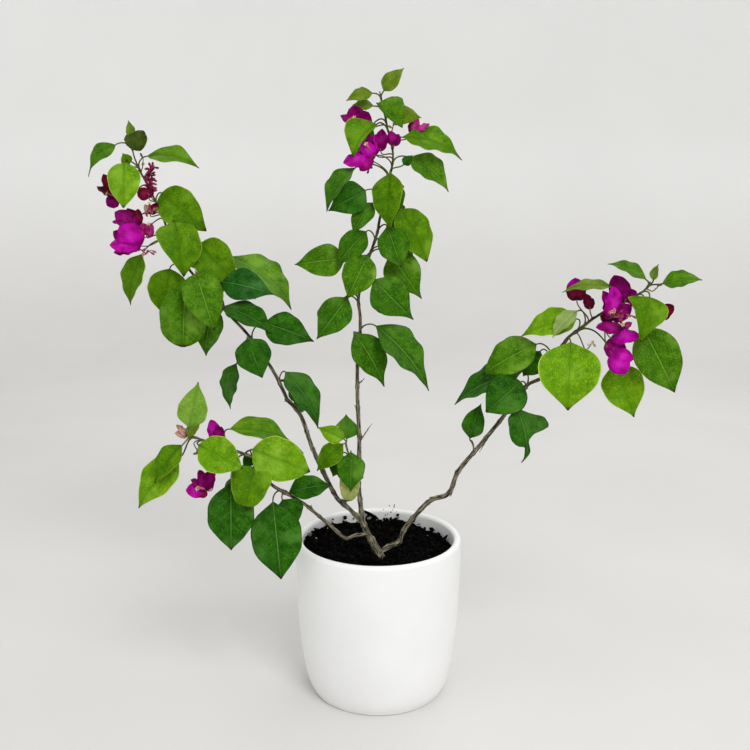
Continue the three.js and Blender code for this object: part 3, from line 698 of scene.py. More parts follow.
def stalk_finish(name, shade, light):
    """Smooth stalks and florets, softly clouded."""
    finish = Finish(name, 0.2)
    at = finish.place()
    color = finish.layered(shade, (light, finish.grain(at, 130), 0.35, 0.65))
    roughness = finish.step(finish.grain(at, 300), 0.3, 0.7, 0.42, 0.6)
    return finish.done(color, roughness, finish.grain(at, 900, 2), 0.0002, 0.4)


def studio_paper():
    """Pale matt paper, a little lighter higher up."""
    finish = Finish("studio_paper", 0.1)
    at = finish.place()
    climb = finish.step(finish.part(at, "Z"), 0.0, 0.5)
    paper = finish.blend(climb, (222, 221, 219), (244, 244, 243))
    faded = finish.blend(climb, (218, 217, 215), (242, 242, 241))
    color = finish.layered(faded, (paper, finish.grain(at, 3), 0.3, 0.7))
    return finish.done(color, finish.step(finish.grain(at, 20), 0.3, 0.7, 0.75, 0.85))


# Pot

POT_HEIGHT = 135.5
POT_RADIUS = 70.0
FOOT_RADIUS = 52.9
POT_SWEEP = 2.21
POT_WALL = 6.2
POT_FLOOR = 8.0
FLOOR_ROUND = 4
FOOT_ROUND = 2.4
FOOT_HOLLOW = 0.9
TURNS = 160


def outer_radius(z):
    """The pot's radius at a height: one sweep from its foot to its lip."""
    down = 1 - min(z / POT_HEIGHT, 1)
    return POT_RADIUS - (POT_RADIUS - FOOT_RADIUS) * (1 - (1 - down**POT_SWEEP) ** (1 / POT_SWEEP))


def inner_radius(z):
    """The hollow's radius at a height."""
    return outer_radius(z) - POT_WALL


def turned_rings(profile, turns):
    """Corners of a profile of radius and height that is turned about the axis."""
    profile = np.array(profile, float)
    corners = np.empty((len(profile), turns, 3))
    for axis, round_share in enumerate(circle(turns)):
        corners[..., axis] = profile[:, :1] * round_share
    corners[..., 2] = profile[:, 1:]
    return corners.reshape(-1, 3)


def turned_body(heap, profile, turns=TURNS):
    """A closed body turned from a profile that starts and ends on the axis."""
    poles = ((0, 0, profile[0][1]), (0, 0, profile[-1][1]))
    groups = [(faces, 0, None) for faces in ring_faces(len(profile) - 2, turns)]
    heap.add(np.vstack((turned_rings(profile[1:-1], turns), poles)), groups)


def pot_profile():
    """Flat foot, one round sweep up to a soft rolled lip, and the same sweep down inside."""
    lip = POT_WALL / 2
    shoulder = POT_HEIGHT - lip
    foot = outer_radius(FOOT_ROUND)
    inside = POT_FLOOR + FLOOR_ROUND
    profile = [(0, FOOT_HOLLOW), (foot - 9, FOOT_HOLLOW), (foot - 7.5, 0), (foot - FOOT_ROUND - 0.6, 0)]
    for step in range(1, 6):
        angle = math.pi / 2 * step / 6
        profile.append((foot - FOOT_ROUND + FOOT_ROUND * math.sin(angle), FOOT_ROUND * (1 - math.cos(angle))))
    for step in range(61):
        z = FOOT_ROUND + (shoulder - FOOT_ROUND) * (1 - math.cos(math.pi / 2 * step / 60))
        profile.append((outer_radius(z), z))
    centre = outer_radius(shoulder) - lip
    for step in range(1, 16):
        angle = math.pi * step / 16
        profile.append((centre + lip * math.cos(angle), shoulder + lip * math.sin(angle)))
    for step in range(40, -1, -1):
        z = inside + (shoulder - inside) * step / 40
        profile.append((inner_radius(z), z))
    profile.append((inner_radius(POT_FLOOR) - FLOOR_ROUND, POT_FLOOR))
    profile.append((0, POT_FLOOR))
    return profile


def make_pot():
    """The glazed pot."""
    heap = Heap()
    turned_body(heap, pot_profile())
    piece(heap.mesh("pot_glazed", [glazed_ceramic()]), ["pot"])


# Potting mix

SOIL_LEVEL = 122.0
BED_GAP = 0.4
BED_RINGS, BED_TURNS = 46, 140
CRUMBS = 2100
CRUMB_LEAST, CRUMB_SPREAD = 0.7, 2.1
PALE, PALE_MOST = 3, 1.1
BY_THE_WALL = 0.98
WALL_DEPTH = 58.5
WALL_CRUMBS = ((4, 158), (8, 160), (11, 157), (7, 154), (10, 155), (13, 160), (5, 152), (15, 156), (32, 151))

# Each kind of crumb: shade, light, and the draw above which a crumb is of that kind
CRUMB_INKS = {
    "dark": ((1, 1, 1), (9, 8, 7), 0),
    "brown": ((7, 5, 4), (28, 21, 16), 0.9),
    "grey": ((96, 92, 86), (150, 146, 138), 0.991),
    "pale": ((178, 174, 164), (226, 222, 214), 0.997),
}


def soil_height(x, y):
    """Lumpy mix: piled higher at the back and left, sunk at the right."""
    edge = math.hypot(x, y) / inner_radius(SOIL_LEVEL)
    pile = 2.6 * max(y, 0) / 60 * edge + 2.4 * max(-x, 0) / 60 * edge - 2.2 * max(x, 0) / 60
    lumps = 3.2 * noise.noise((x * 0.07, y * 0.07, 1.7)) + 2.2 * noise.noise((x * 0.19, y * 0.19, 5.1))
    return SOIL_LEVEL - 0.6 + pile + lumps + 1.3 * noise.noise((x * 0.5, y * 0.5, 9.3)) + 1.5 * edge**6


def mix_bed():
    """The bed: a plug that fills the pot, with a lumpy top."""
    bed = Heap()
    foot, wide = POT_FLOOR + BED_GAP, inner_radius(SOIL_LEVEL)
    profile = [(0, foot)]
    for step in range(9):
        z = foot + (SOIL_LEVEL - 8 - POT_FLOOR) * step / 8
        profile.append((inner_radius(max(z, POT_FLOOR + FLOOR_ROUND)) - 0.5, z))
    profile += [(wide * (1 - step / BED_RINGS) - BED_GAP, SOIL_LEVEL) for step in range(BED_RINGS)]
    profile.append((0, SOIL_LEVEL))
    turned_body(bed, profile, BED_TURNS)
    corners = bed.corners[0]
    bed_top = corners[:, 2] >= SOIL_LEVEL
    corners[bed_top, 2] = [soil_height(x, y) for x, y, z in corners[bed_top]]
    return bed


def mix_crumbs():
    """Loose crumbs and slivers of bark on the bed, and a few that cling to the wall."""
    crumbs = Heap()
    draw = seeded(77)
    ball = crumb_shape()
    kinds = [least for shade, light, least in CRUMB_INKS.values()]
    for number in range(CRUMBS):
        angle, out = 2 * math.pi * next(draw), math.sqrt(next(draw))
        size = CRUMB_LEAST + CRUMB_SPREAD * next(draw) ** 2.5
        room = inner_radius(SOIL_LEVEL) - size * 1.1 - BED_GAP
        if out > 0.93 and next(draw) < 0.5:
            out = BY_THE_WALL
        x, y = room * out * math.cos(angle), room * out * math.sin(angle)
        z = soil_height(x, y) + size * (0.1 + 0.5 * next(draw))
        shown = 0.35 + 0.65 * max(math.sin(angle), -math.cos(angle), 0)
        climb = bump(out, 1, 0.03) * next(draw) ** 2 * 7 * shown
        dealt = next(draw)
        coat = sum(dealt > least for least in kinds) - 1
        if coat == PALE:
            size = min(size, PALE_MOST)
        crumb(crumbs, ball, (x, y, z + climb), size, draw, coat)
    for x, z in WALL_CRUMBS:
        wall = place(x + next(draw) * 2, z + next(draw) * 2, WALL_DEPTH, CENTRE)
        crumb(crumbs, ball, wall, 0.45 + 0.3 * next(draw), draw, 0)
    return crumbs


def make_mix():
    """A lumpy bed with loose crumbs, slivers of bark and a few pale grains on it."""
    kinds = [crumb_finish("mix_" + name, shade, light) for name, (shade, light, least) in CRUMB_INKS.items()]
    piece(mix_bed().mesh("mix_bed", kinds[:1]), ["potting_mix"])
    piece(mix_crumbs().mesh("mix_crumbs", kinds), ["potting_mix"])


def crumb_shape():
    """Corners and faces of a ball with eighty faces."""
    body = bmesh.new()
    bmesh.ops.create_icosphere(body, subdivisions=2, radius=1)
    corners = np.array([corner.co for corner in body.verts])
    faces = np.array([[corner.index for corner in face.verts] for face in body.faces])
    body.free()
    return corners, faces


def crumb(heap, ball, at, size, draw, coat):
    """One crumb: a ball knocked out of shape, some of them long slivers."""
    corners, faces = ball
    turn = np.array([next(draw) for axis in range(3)]) * 6
    long = 1 + 2.2 * (next(draw) > 0.86)
    shape = corners * (1 / long**0.5, (0.6 + 0.4 * next(draw)) / long**0.5, long)
    dents = np.sin(corners @ (2.3, 1.1, 3.1) + turn[0]) * np.cos(corners @ (-1.7, 2.9, 0.8) + turn[1])
    shape = shape * (1 + 0.34 * dents)[:, None] * size
    for axis in range(3):
        a, b = (axis + 1) % 3, (axis + 2) % 3
        cosine, sine = math.cos(turn[axis]), math.sin(turn[axis])
        first, second = shape[:, a].copy(), shape[:, b].copy()
        shape[:, a] = first * cosine - second * sine
        shape[:, b] = first * sine + second * cosine
    heap.add(shape + at, [(faces, coat, None)])


# Trunk and canes

# How finely limbs, stalks, threads and buds are made: sides, and the step along them
LIMB_GRID, STALK_GRID, THREAD_GRID, BUD_GRID = (14, 1.0), (8, 1.6), (8, 1.4), (8, 0.7)
SPUR_GRID, FLORET_GRID = (10, 0.8), (10, 0.7)
SPUR_TAPER = 3.0
KNOT_SWELL, KNOT_SPREAD = 0.24, 1.5
SLIM = 0.88
BARK_GRAIN = 0.0005
FURROWS = (2.1, 2.1, 0.13)
FURROW_DEPTH, BUMP_DEPTH = 0.18, 0.09


class Limb:
    """A tapering limb in its cane's lean, with knots where something grew from it."""

    def __init__(self, places, radii, lean, knots=(), seen=True):
        self.lean, self.radii, self.knots = lean, radii, list(knots)
        self.course = Course([place(*at, lean) if seen else at for at in places])

    def radius(self, share):
        plain = SLIM * (self.radii[0] + (self.radii[1] - self.radii[0]) * share)
        offs = [(share - knot) * self.course.length for knot in self.knots]
        return plain * (1 + sum(KNOT_SWELL * float(bump(off, 0, KNOT_SPREAD)) for off in offs))


def knots_along(length, draw, spacing=17):
    """Shares of a limb at which old leaves stood."""
    run, knots = spacing * 0.6, []
    while run < length - 4:
        knots.append(run / length)
        run += spacing * (0.6 + 0.8 * next(draw))
    return knots


def spur(heap, limb, share, x, z, nearer, root=0.9):
    """A short cone from the limb's heart towards a seen place: a stub or a thorn."""
    start = limb.course.at(share)
    tip = place(x, z, start[1] - nearer, CENTRE)
    way = Course([start, (start + tip) / 2, tip])
    tube(heap, way, lambda at: root * (1 - at * (1 - 1 / SPUR_TAPER)), SPUR_GRID)


TRUNK_PLACES = [(2.4, 112, -13), (-3, 126, -13), (-8.5, 136, -12.5), (-13, 147.5, -12)]
TRUNK = Limb(TRUNK_PLACES, (3.6, 2.7), CENTRE, (0.55, 0.93))
FLARE = Limb([(1.6, 115, -13), (-1, 121, -13), (-3.5, 127, -13)], (5.4, 3.6), CENTRE)

# Each cane: its lean, the places that it passes, its radii, and its stubs and thorns as the share at
# which they stand, where their tips are seen, how much nearer those are, and some with their radius
CANES = {
    "centre": (
        CENTRE,
        [(-12.5, 146.5, -12), (-14.5, 160, -11), (-16.5, 184, -9), (-15.6, 219, -7), (-16.8, 250, -5),
         (-17, 277, -3.5), (-15, 303, -2)],
        (2.3, 1.6),
        [(0.24, -12.3, 187, 3, 1.7), (0.45, -5, 233.5, 0), (0.62, -20.2, 249.8, 1), (0.76, -11, 271.5, 1)],
    ),
    "left": (
        LEFT,
        [(-11.5, 145.5, -12), (-25, 159.5, -12), (-34, 168, -11), (-46, 192, -9), (-55, 213, -7),
         (-64.5, 241, -4), (-76, 255, -2)],
        (2.3, 1.9),
        [(0.22, -25.5, 166, 6, 2.2), (0.27, -36.5, 167.5, 0), (0.97, -77.5, 252, 1)],
    ),
    "low_left": (
        LOW_LEFT,
        [(-8, 137, -12.5), (-20, 135, -15), (-27.5, 132.5, -17), (-37, 141, -20), (-52.5, 155, -24),
         (-63, 164, -27), (-75, 171.5, -30)],
        (1.8, 1.5),
        [(0.7, -56.5, 163, 0)],
    ),
    "right": (
        RIGHT,
        [(2, 120, -12), (10, 126, -2), (17.5, 129, 3), (22, 140, 4), (33, 155, 3), (45, 167, 1),
         (58.5, 172, -3), (67, 192, -7), (81, 210, -11), (104, 240, -16), (118, 261, -19)],
        (2.6, 1.7),
        [(0.42, 42.5, 169, 0, 1.3), (0.55, 61, 170, 1, 1.5), (0.78, 84, 208, 0), (0.88, 103, 235.5, 0)],
    ),
}

# Foliage


class Mass:
    """A stem of a cane, its shown leaves, and how many leaves and twigs a seeded rule adds."""

    def __init__(self, name, lean, seed, radii, places, *leaves, hidden=6, twigs=2):
        self.name, self.lean, self.seed, self.leaves = name, lean, seed, leaves
        self.stem = Limb(places, radii, lean)
        self.hidden, self.twigs = hidden, twigs


# Each mass: its cane, seed, radii and the places that its stem passes, then its leaves as base, tip,
# shown width, two depths, tint and, on a few, what sets them apart
MASSES = [
    Mass("leaves_left_low", LEFT, 11, (1.7, 1.4),
         [(-75, 254, -2), (-84.5, 275, 1), (-102, 303, 4), (-124, 328, 7)],
         (-125, 331, -85, 309, 20, 3, 0, "deep"),
         (-92.5, 317.5, -52.5, 302.5, 28, 8, 6, "deep"),
         (-106.5, 304.5, -95, 272, 30, -5, -12, "deep", {"edge": OVATE_EDGE}),
         (-116, 284, -123, 245.5, 15, 2, -2, "deep"),
         (-75.5, 277, -48.5, 230, 23, 0, -6, "deep")),
    Mass("leaves_left_middle", LEFT, 12, (1.4, 1.2),
         [(-123, 327, 7), (-135, 342, 10), (-151, 360, 13), (-160, 374, 15)],
         (-143, 380.5, -114, 349.5, 34, 20, 17, "young", {"edge": ROUND_EDGE}),
         (-118, 371, -69, 330, 25, 36, 36, "fresh", {"bow": 0.04}),
         (-125.5, 351, -84.5, 341, 27, 10, 13, "blue"),
         (-167, 361, -173, 324, 33, 7, 2, "young", {"edge": ROUND_EDGE}),
         (-146, 357.5, -133, 311.5, 33.5, -3, -14, "fresh", {"edge": ROUND_EDGE}),
         (-155.5, 346.5, -159, 297.5, 40, 0, -10, "fresh", {"edge": BLUNT_EDGE}),
         (-133, 331, -141, 290, 25, 12, 7, "green")),
    Mass("leaves_left_top", LEFT, 69, (1.2, 0.7),
         [(-159, 372.5, 15), (-165, 385, 17), (-170, 400, 20), (-177, 417, 22), (-186, 436, 24),
          (-191, 449, 26), (-193, 461, 27)],
         (-193, 463, -194, 476.5, 8, 27, 28, "olive"),
         (-191, 467.5, -186, 454, 19, 30, 14, "moss", {"edge": BLUNT_EDGE}),
         (-205.5, 458, -228.5, 434, 13.5, 24, 12, "fresh", {"edge": TAIL_EDGE, "bow": -0.1}),
         (-181, 449.5, -140.5, 441.5, 15.5, 22, 22, "young", {"edge": DRAWN_EDGE, "bow": 0.04}),
         (-195, 443, -200, 451.5, 10, 17, 16, "young"),
         (-199, 444, -201.5, 409.5, 27, 11, 0, "lime", {"edge": ROUND_EDGE}),
         (-171, 421, -137, 391.5, 33, 24, 22, "young", {"edge": ROUND_EDGE}),
         (-161, 398, -156, 355, 36, 9, -2, "young", {"edge": FULL_EDGE, "other": SPARE_EDGE}),
         (-188.5, 373, -201, 332, 19, 12, 6, "young")),
    Mass("leaves_centre_low", CENTRE, 21, (1.55, 1.35),
         [(-15.2, 301.5, -2), (-14.5, 322, -1), (-16, 336, 0), (-13, 353, 0)],
         (-19.5, 309, 5.5, 264.5, 27, -7, -12, "green", {"edge": DRAWN_EDGE, "droop": 0.02}),
         (-1.5, 315, 42.5, 261.5, 26, -4, -10, "green", {"edge": DRAWN_EDGE, "droop": 0.02}),
         (-24.5, 338, -50, 304, 26, -4, -10, "green"),
         (-4, 352.5, 28.5, 320, 32, -5, -10, "green", {"edge": DRAWN_EDGE, "droop": 0.02})),
    Mass("leaves_centre_middle", CENTRE, 22, (1.4, 1.2),
         [(-13.2, 351.5, 0), (-12, 358, 0), (-7, 372, 1), (-1, 389, 1), (1, 400, 1), (3, 408, 2)],
         (-8.5, 372.5, -24.5, 337.5, 27, -6, -13, "fresh", {"edge": OVATE_EDGE}),
         (-26, 370, -67, 364.5, 26, 6, 6, "fresh"),
         (-9.5, 391, -33, 364, 21, -3, -4, "green"),
         (9.5, 373, 35, 337, 30, 7, 4, "fresh", {"edge": DRAWN_EDGE, "droop": 0.02}),
         (7, 395, 18.5, 362.5, 25, -4, -9, "green", {"edge": OVATE_EDGE}),
         (18, 408, 39.5, 367, 27, 4, 2, "young", {"edge": ROUND_EDGE}),
         (-4, 413.5, -21, 388.5, 16, 0, -4, "green")),
    Mass("leaves_centre_top", CENTRE, 23, (1.2, 0.7),
         [(2.8, 406.5, 2), (8, 430, 2), (11.5, 449, 3), (7, 471, 4), (2.5, 491, 5), (1, 498, 5)],
         (4, 498.5, 19.5, 515.5, 13, 6, 6, "olive"),
         (-4.5, 497, -25, 491.5, 10, 3, 0, "olive"),
         (-4, 487.5, -23.5, 485, 8, 7, 8, "olive"),
         (-1, 489, 18.5, 471, 21, 0, -5, "fresh", {"edge": HALF_EDGE, "other": FOLDED_EDGE}),
         (11, 481, 33.5, 478.5, 14, 10, 11, "olive"),
         (-1, 473.5, -19.5, 448.5, 22, -3, -10, "young",
          {"edge": FOLDED_EDGE, "other": HALF_EDGE, "bow": -0.12}),
         (19, 464, 66, 447.5, 18.5, 3, 0, "young", {"edge": DRAWN_EDGE, "bow": 0.07}),
         (23.5, 448.5, 56, 422.5, 19, 4, 0, "fresh", {"edge": DRAWN_EDGE, "bow": 0.06}),
         (9.5, 436.5, 9, 392, 24, -5, -12, "young"),
         (16, 428, 11.5, 400, 16, 10, 10, "green"),
         (-10, 423, -39.5, 407, 26, 2, -4, "deep"),
         (-18.5, 440.5, -42, 407, 13.5, -3, -8, "green", {"fold": 0.5, "bow": 0.03}),
         (19.5, 442.5, 26.5, 450, 8, 2, 0, "deep")),
    Mass("leaf_right_spur", RIGHT, 34, (0.9, 0.8),
         [(79.5, 208, -10.5), (79.2, 214, -13), (77.5, 219, -14)],
         (76, 220.5, 84.5, 250, 18, -14, -12, "deep"),
         hidden=0, twigs=0),
    Mass("leaf_right_hanging", RIGHT, 35, (0.9, 0.8),
         [(110, 246.5, -17), (111, 247, -21), (112, 245, -24)],
         (115, 245.5, 124.5, 200.5, 24, -26, -30, "deep",
          {"edge": LOBED_EDGE, "other": TORN_EDGE, "wave": 0.05, "bow": 0.03, "hook": -2.6}),
         hidden=0, twigs=0),
    Mass("leaves_right_low", RIGHT, 31, (1.7, 1.4),
         [(117.5, 260, -19), (124, 267, -20), (134, 272, -22), (143, 287, -23), (150, 300, -24)],
         (128.5, 300, 86, 275.5, 28, -17, -20, "fresh", {"edge": OVATE_EDGE}),
         (117.5, 277.5, 62, 251, 22, -10, -12, "deep"),
         (117, 268.5, 89, 243, 33, -24, -33, "deep", {"edge": ROUND_EDGE}),
         (132, 294, 118.5, 273, 22, -10, -8, "deep")),
    Mass("leaves_right_middle", RIGHT, 32, (1.4, 1.25),
         [(149.5, 298.5, -24), (155, 306, -24.5), (163, 312, -25.5), (175, 322, -27)],
         (156.5, 301.5, 156.5, 244.5, 47, -32, -46, "lime", {"edge": OVATE_EDGE}),
         (193.5, 285, 211.5, 238.5, 32, -22, -30, "lime"),
         (160.5, 321, 116, 307.5, 22, -20, -24, "lime"),
         (161, 327.5, 141, 305.5, 11.5, -30, -34, "silver")),
    Mass("leaves_right_tip", RIGHT, 33, (1.25, 0.7),
         [(174, 321, -27), (190, 331, -29), (205, 338, -32), (216, 346, -35), (218.5, 351, -36)],
         (215, 353, 184, 366, 9, -36, -36, "fresh"),
         (228, 349.5, 260, 353, 12.5, -38, -42, "fresh"),
         (220.5, 352, 224, 365, 6, -36, -36, "olive"),
         (218.5, 338.5, 213, 302, 30, -44, -54, "young", {"edge": SHOULDER_EDGE, "other": CORNER_EDGE}),
         (214, 314.5, 244, 259.5, 34, -30, -38, "fresh", {"edge": OVATE_EDGE}),
         (187.5, 347, 148, 343.5, 8, -34, -34, "olive")),
    Mass("leaves_low_left_middle", LOW_LEFT, 41, (1.65, 1.3),
         [(-74, 171, -29.8), (-90, 181, -35), (-97, 192, -38), (-103, 203, -41), (-114, 208, -45)],
         (-75, 173.5, -38.5, 180, 19, -32, -26, "deep"),
         (-80.5, 167, -68.5, 144, 25, -35, -37, "deep"),
         (-88.5, 165, -83, 95, 40, -42, -54, "deep", {"edge": OVATE_EDGE}),
         (-123.5, 182, -125, 121.5, 36, -50, -57, "deep", {"edge": OVATE_EDGE}),
         (-104, 196, -112, 160, 31, -48, -64, "young", {"edge": SQUARE_EDGE, "wave": 0.06}),
         (-104.5, 211, -56.5, 191.5, 34, -44, -42, "lime", {"edge": ROUND_EDGE}),
         (-104, 205, -113, 197, 10, -36, -34, "deep")),
    Mass("leaves_low_left_tip", LOW_LEFT, 42, (1.3, 0.8),
         [(-113, 207.8, -44.8), (-130, 213, -50), (-145, 219, -55), (-154, 222, -57)],
         (-163, 215, -188, 182, 17, -60, -66, "young"),
         (-166, 203, -203, 160, 25, -54, -58, "lime"),
         (-156.5, 230, -147.5, 268.5, 22.5, -56, -50, "spring"),
         (-158, 221.5, -146, 237, 8, -58, -54, "olive"),
         (-149.5, 215, -113, 194.5, 28, -62, -68, "lime", {"edge": OVATE_EDGE}),
         (-122.5, 229, -61, 209.5, 17, -30, -24, "young", {"edge": TAIL_EDGE, "bow": 0.07})),
    Mass("leaves_side_shoot", CENTRE, 51, (1.0, 0.8),
         [(-16, 185, -9), (-20.5, 197, -16), (-26, 212, -15), (-27, 218, -14)],
         (-28.5, 220, -50, 230, 15, -14, -16, "lime"),
         (-26, 220, -26.5, 241, 20, -13, -12, "green"),
         (-29, 216, -51.5, 192.5, 18, -17, -22, "young"),
         (-22.5, 208.5, -23, 174, 23, -21, -27, "green"),
         (-23, 190, -25, 165.5, 17, -21, -20, "pale", {"edge": SQUARE_EDGE}),
         (-30, 207, -38, 187, 16, -12, -14, "deep"),
         hidden=1),
]

# Blossoms of a mass: the heart with its depth, how many florets stand in it, and then its bracts as
# tip, shown width, how much nearer to the eye the tip is, and tint
BLOSSOMS = {
    "leaves_left_top": [
        ((-206, 417, 15), 1, (-216, 435.5, 12, 2, "wine"), (-221.5, 426, 6.5, 3, "wine"),
         (-214.5, 411, 12, 5, "purple")),
        ((-181, 417, 14), 0, (-189.5, 424, 11, 4, "wine"), (-179.5, 426.5, 7.5, 0, "wine")),
        ((-180.5, 404.5, 16), 1, (-174, 413, 7.5, 1, "wine"), (-184.5, 412, 6, 2, "faded")),
        ((-190.5, 395, 12), 0, (-208.5, 406, 15, 4, "purple"), (-211, 398.5, 6.5, 5, "purple"),
         (-198.5, 409, 10, 0, "wine"), (-190, 408.5, 8.5, 2, "wine")),
        ((-189, 379.5, 9), 0, (-210.5, 391, 15, 0, "purple"), (-205.5, 395, 24, 8, "magenta"),
         (-214, 380, 14, 10, "magenta"), (-211, 374, 10, 6, "purple")),
        ((-184, 388, 12), 1, (-187.5, 397.5, 8.5, 3, "pink"), (-180, 397.5, 8.5, 1, "pink"),
         (-178, 391, 6.5, 4, "pink")),
    ],
    "leaves_centre_top": [
        ((-16.5, 471.5, 4), 1, (-18.5, 487.5, 15, 3, "purple"), (-7.5, 482.5, 16, 0, "purple"),
         (-29.5, 480, 6.5, 4, "purple")),
        ((-2, 450, 0), 1, (-7.5, 466, 10, 0, "purple"), (-14.5, 459, 11.5, 5, "magenta"),
         (-16.5, 450, 11, 3, "purple")),
        ((-5.5, 448, -2), 0, (-27.5, 444, 12, 4, "magenta"), (-14.5, 438, 10, 6, "purple"),
         (-9, 442.5, 7.5, 3, "purple")),
        ((2, 453, 1), 0, (3, 470, 10, 3, "purple"), (-2.5, 466, 7.5, 0, "magenta")),
        ((12, 457, 3), 0, (9.5, 468.5, 8.5, 4, "purple"), (16, 466, 7.5, 2, "purple")),
        ((26, 466, 12), 0, (27, 478, 6.5, 2, "wine"), (31.5, 477.5, 6.5, 4, "pink"),
         (40, 473.5, 5, 5, "pink")),
    ],
    "leaves_right_middle": [
        ((160, 336, -18), 0, (158, 354, 15, 2, "magenta"), (153, 347.5, 9.5, 5, "wine"),
         (164.5, 346.5, 10, 5, "wine")),
        ((171, 328.5, -26), 0, (167, 341, 7.5, 2, "wine"), (173, 337.5, 5, 0, "wine")),
    ],
    "leaves_right_tip": [
        ((199, 335, -32), 0, (189, 356, 16, 2, "purple"), (207.5, 343.5, 13, 0, "purple")),
        ((189, 320, -36), 6, (188.5, 347, 13, 8, "magenta"), (180.5, 343.5, 8.5, 4, "purple"),
         (204.5, 332, 12, 5, "purple"), (179.5, 323, 8.5, 3, "wine")),
        ((198.5, 313, -37), 2, (176.5, 313.5, 10, 6, "purple"), (205.5, 317.5, 5, 4, "pink")),
        ((189, 305, -39), 0, (212.5, 306, 11, 9, "magenta"), (197.5, 286, 16, 6, "purple")),
        ((190.5, 292.5, -44), 0, (203, 275, 16, 7, "magenta"), (208.5, 287.5, 12, 5, "magenta")),
        ((228.5, 324.5, -34), 0, (238.5, 331.5, 9.5, 3, "wine"), (236.5, 324, 8.5, 0, "wine")),
    ],
    "leaves_low_left_tip": [
        ((-144.5, 175.5, -60), 2, (-161.5, 175.5, 12, 6, "magenta"), (-150, 193, 8.5, 3, "purple"),
         (-138, 193.5, 9, 1, "purple"), (-157, 184.5, 6.5, 4, "purple"), (-150.5, 169.5, 7.5, 4, "wine")),
        ((-134.5, 219, -52), 0, (-138.5, 236.5, 10, 3, "magenta"), (-129.5, 230.5, 8.5, 1, "purple")),
        ((-158.5, 222.5, -54), 0, (-167, 232, 5, 2, "faded"), (-168.5, 225, 5.5, 4, "faded")),
    ],
}

# Sprays of closed buds: their mass, the way they stand along, how many, their length and their tint
SPRAYS = [
    ("leaves_left_top", [(-179, 419, 17), (-180.5, 428, 17), (-177.5, 441, 17)], 58, 4.8, "wine"),
    ("leaves_left_top", [(-186, 405, 14), (-180, 408, 15), (-175, 405, 15)], 12, 4.0, "pink"),
    ("leaves_left_top", [(-190, 377, 10), (-186, 374, 10), (-181, 376, 10)], 8, 3.6, "pink"),
    ("leaves_left_top", [(-184.5, 443, 22), (-184, 447, 22)], 3, 4.0, "green"),
    ("leaves_centre_top", [(-10, 443, -2), (-7, 439, -1)], 5, 3.6, "wine"),
    ("leaves_centre_top", [(11, 470, 3), (12, 474, 4)], 4, 3.2, "green"),
    ("leaves_right_tip", [(189, 322, -40), (196, 326, -40), (203, 324, -40)], 9, 5.0, "pink"),
    ("leaves_right_tip", [(223, 345, -36), (225, 347, -36)], 2, 3.6, "green"),
    ("leaves_right_middle", [(172, 298, -26), (174, 301, -26)], 4, 3.4, "cream"),
    ("leaves_low_left_tip", [(-152, 213, -54), (-150, 209, -54)], 4, 3.6, "green"),
]

# Leaves behind those that show, finer twigs there and their leaves: the least and spread of each draw
BEHIND = {"share": (0.1, 0.85), "heading": (-1.3, 2.6), "rise": (-0.4, 0.5), "reach": (12, 14),
          "droop": (0.5, 0.6), "length": (30, 18), "kind": (0.5, 0.15)}
TWIG = {"share": (0.1, 0.8), "heading": (-1.1, 2.2), "rise": (0, 0.6), "span": (16, 10)}
TWIG_LEAF = {"turn": (0.9, 0.4), "reach": (4, 2), "droop": (0.5, 0.4), "length": (17, 9), "kind": (0.5, 0.1)}
BEHIND_SPOTS = (0, 0.15, 0.3, 0.45, 0.6, 0.75, 0.9, 1)
BEHIND_NEARER = 3.0
STALK_SPOTS = np.linspace(0.4, 1, 4)
BEHIND_TRIES = 4000
TWIG_TRIES = 1500
TWIG_ARCH = 1.5
TWIG_RADII = (0.85, 0.45)
TWIG_LEAVES = ((0.4, 1), (0.7, -1), (0.97, 0.25))
LEAF_STALK = (0.95, 0.62, 0.5)
THIN_STALK = (0.6, 0.45, 0.4)
ROOM = 5.5
BACK_REACH = cad_box[1][1] / MM
EDGE_SHARES = np.array(LEAF_EDGE).T

# The tints in each piece of leaves in the order of its finishes, with silver for their undersides
LEAF_PIECES = {
    "young": ("lime", "young", "olive", "pale", "silver", "spring"),
    "green": ("fresh", "green", "silver"),
    "deep": ("deep", "blue", "moss", "silver"),
}
HIDDEN_TINTS = ("green", "fresh", "deep", "green", "deep", "young")

# Each tint's inks: shade, light, rib, net, rim and gloss, the pale ink of the painted highlights and glints
# that also tints a fine vein net
LEAF_INKS = {
    "lime": ((80, 132, 0), (126, 172, 16), (84, 126, 14), (56, 104, 0), (178, 202, 82), (154, 196, 64)),
    "young": ((58, 104, 0), (98, 144, 4), (66, 108, 0), (42, 84, 0), (138, 162, 46), (124, 168, 40)),
    "olive": ((78, 108, 8), (116, 146, 32), (142, 160, 68), (62, 88, 6), (120, 124, 48), (140, 166, 76)),
    "pale": ((146, 162, 74), (182, 190, 112), (202, 204, 140), (124, 142, 60), (176, 176, 108),
             (204, 208, 150)),
    "spring": ((98, 142, 34), (134, 172, 68), (96, 138, 36), (84, 124, 26), (170, 192, 84), (156, 186, 96)),
    "fresh": ((46, 94, 0), (84, 136, 6), (128, 168, 62), (34, 76, 0), (74, 96, 22), (130, 176, 58)),
    "green": ((34, 82, 0), (68, 124, 6), (118, 160, 66), (24, 66, 0), (44, 68, 14), (108, 158, 54)),
    "deep": ((18, 68, 0), (56, 120, 12), (102, 148, 68), (10, 50, 0), (14, 38, 4), (84, 134, 52)),
    "blue": ((14, 66, 8), (42, 106, 28), (104, 150, 84), (10, 52, 6), (16, 42, 10), (76, 130, 64)),
    "moss": ((40, 58, 4), (72, 90, 16), (104, 116, 50), (30, 44, 4), (50, 56, 14), (96, 108, 44)),
}

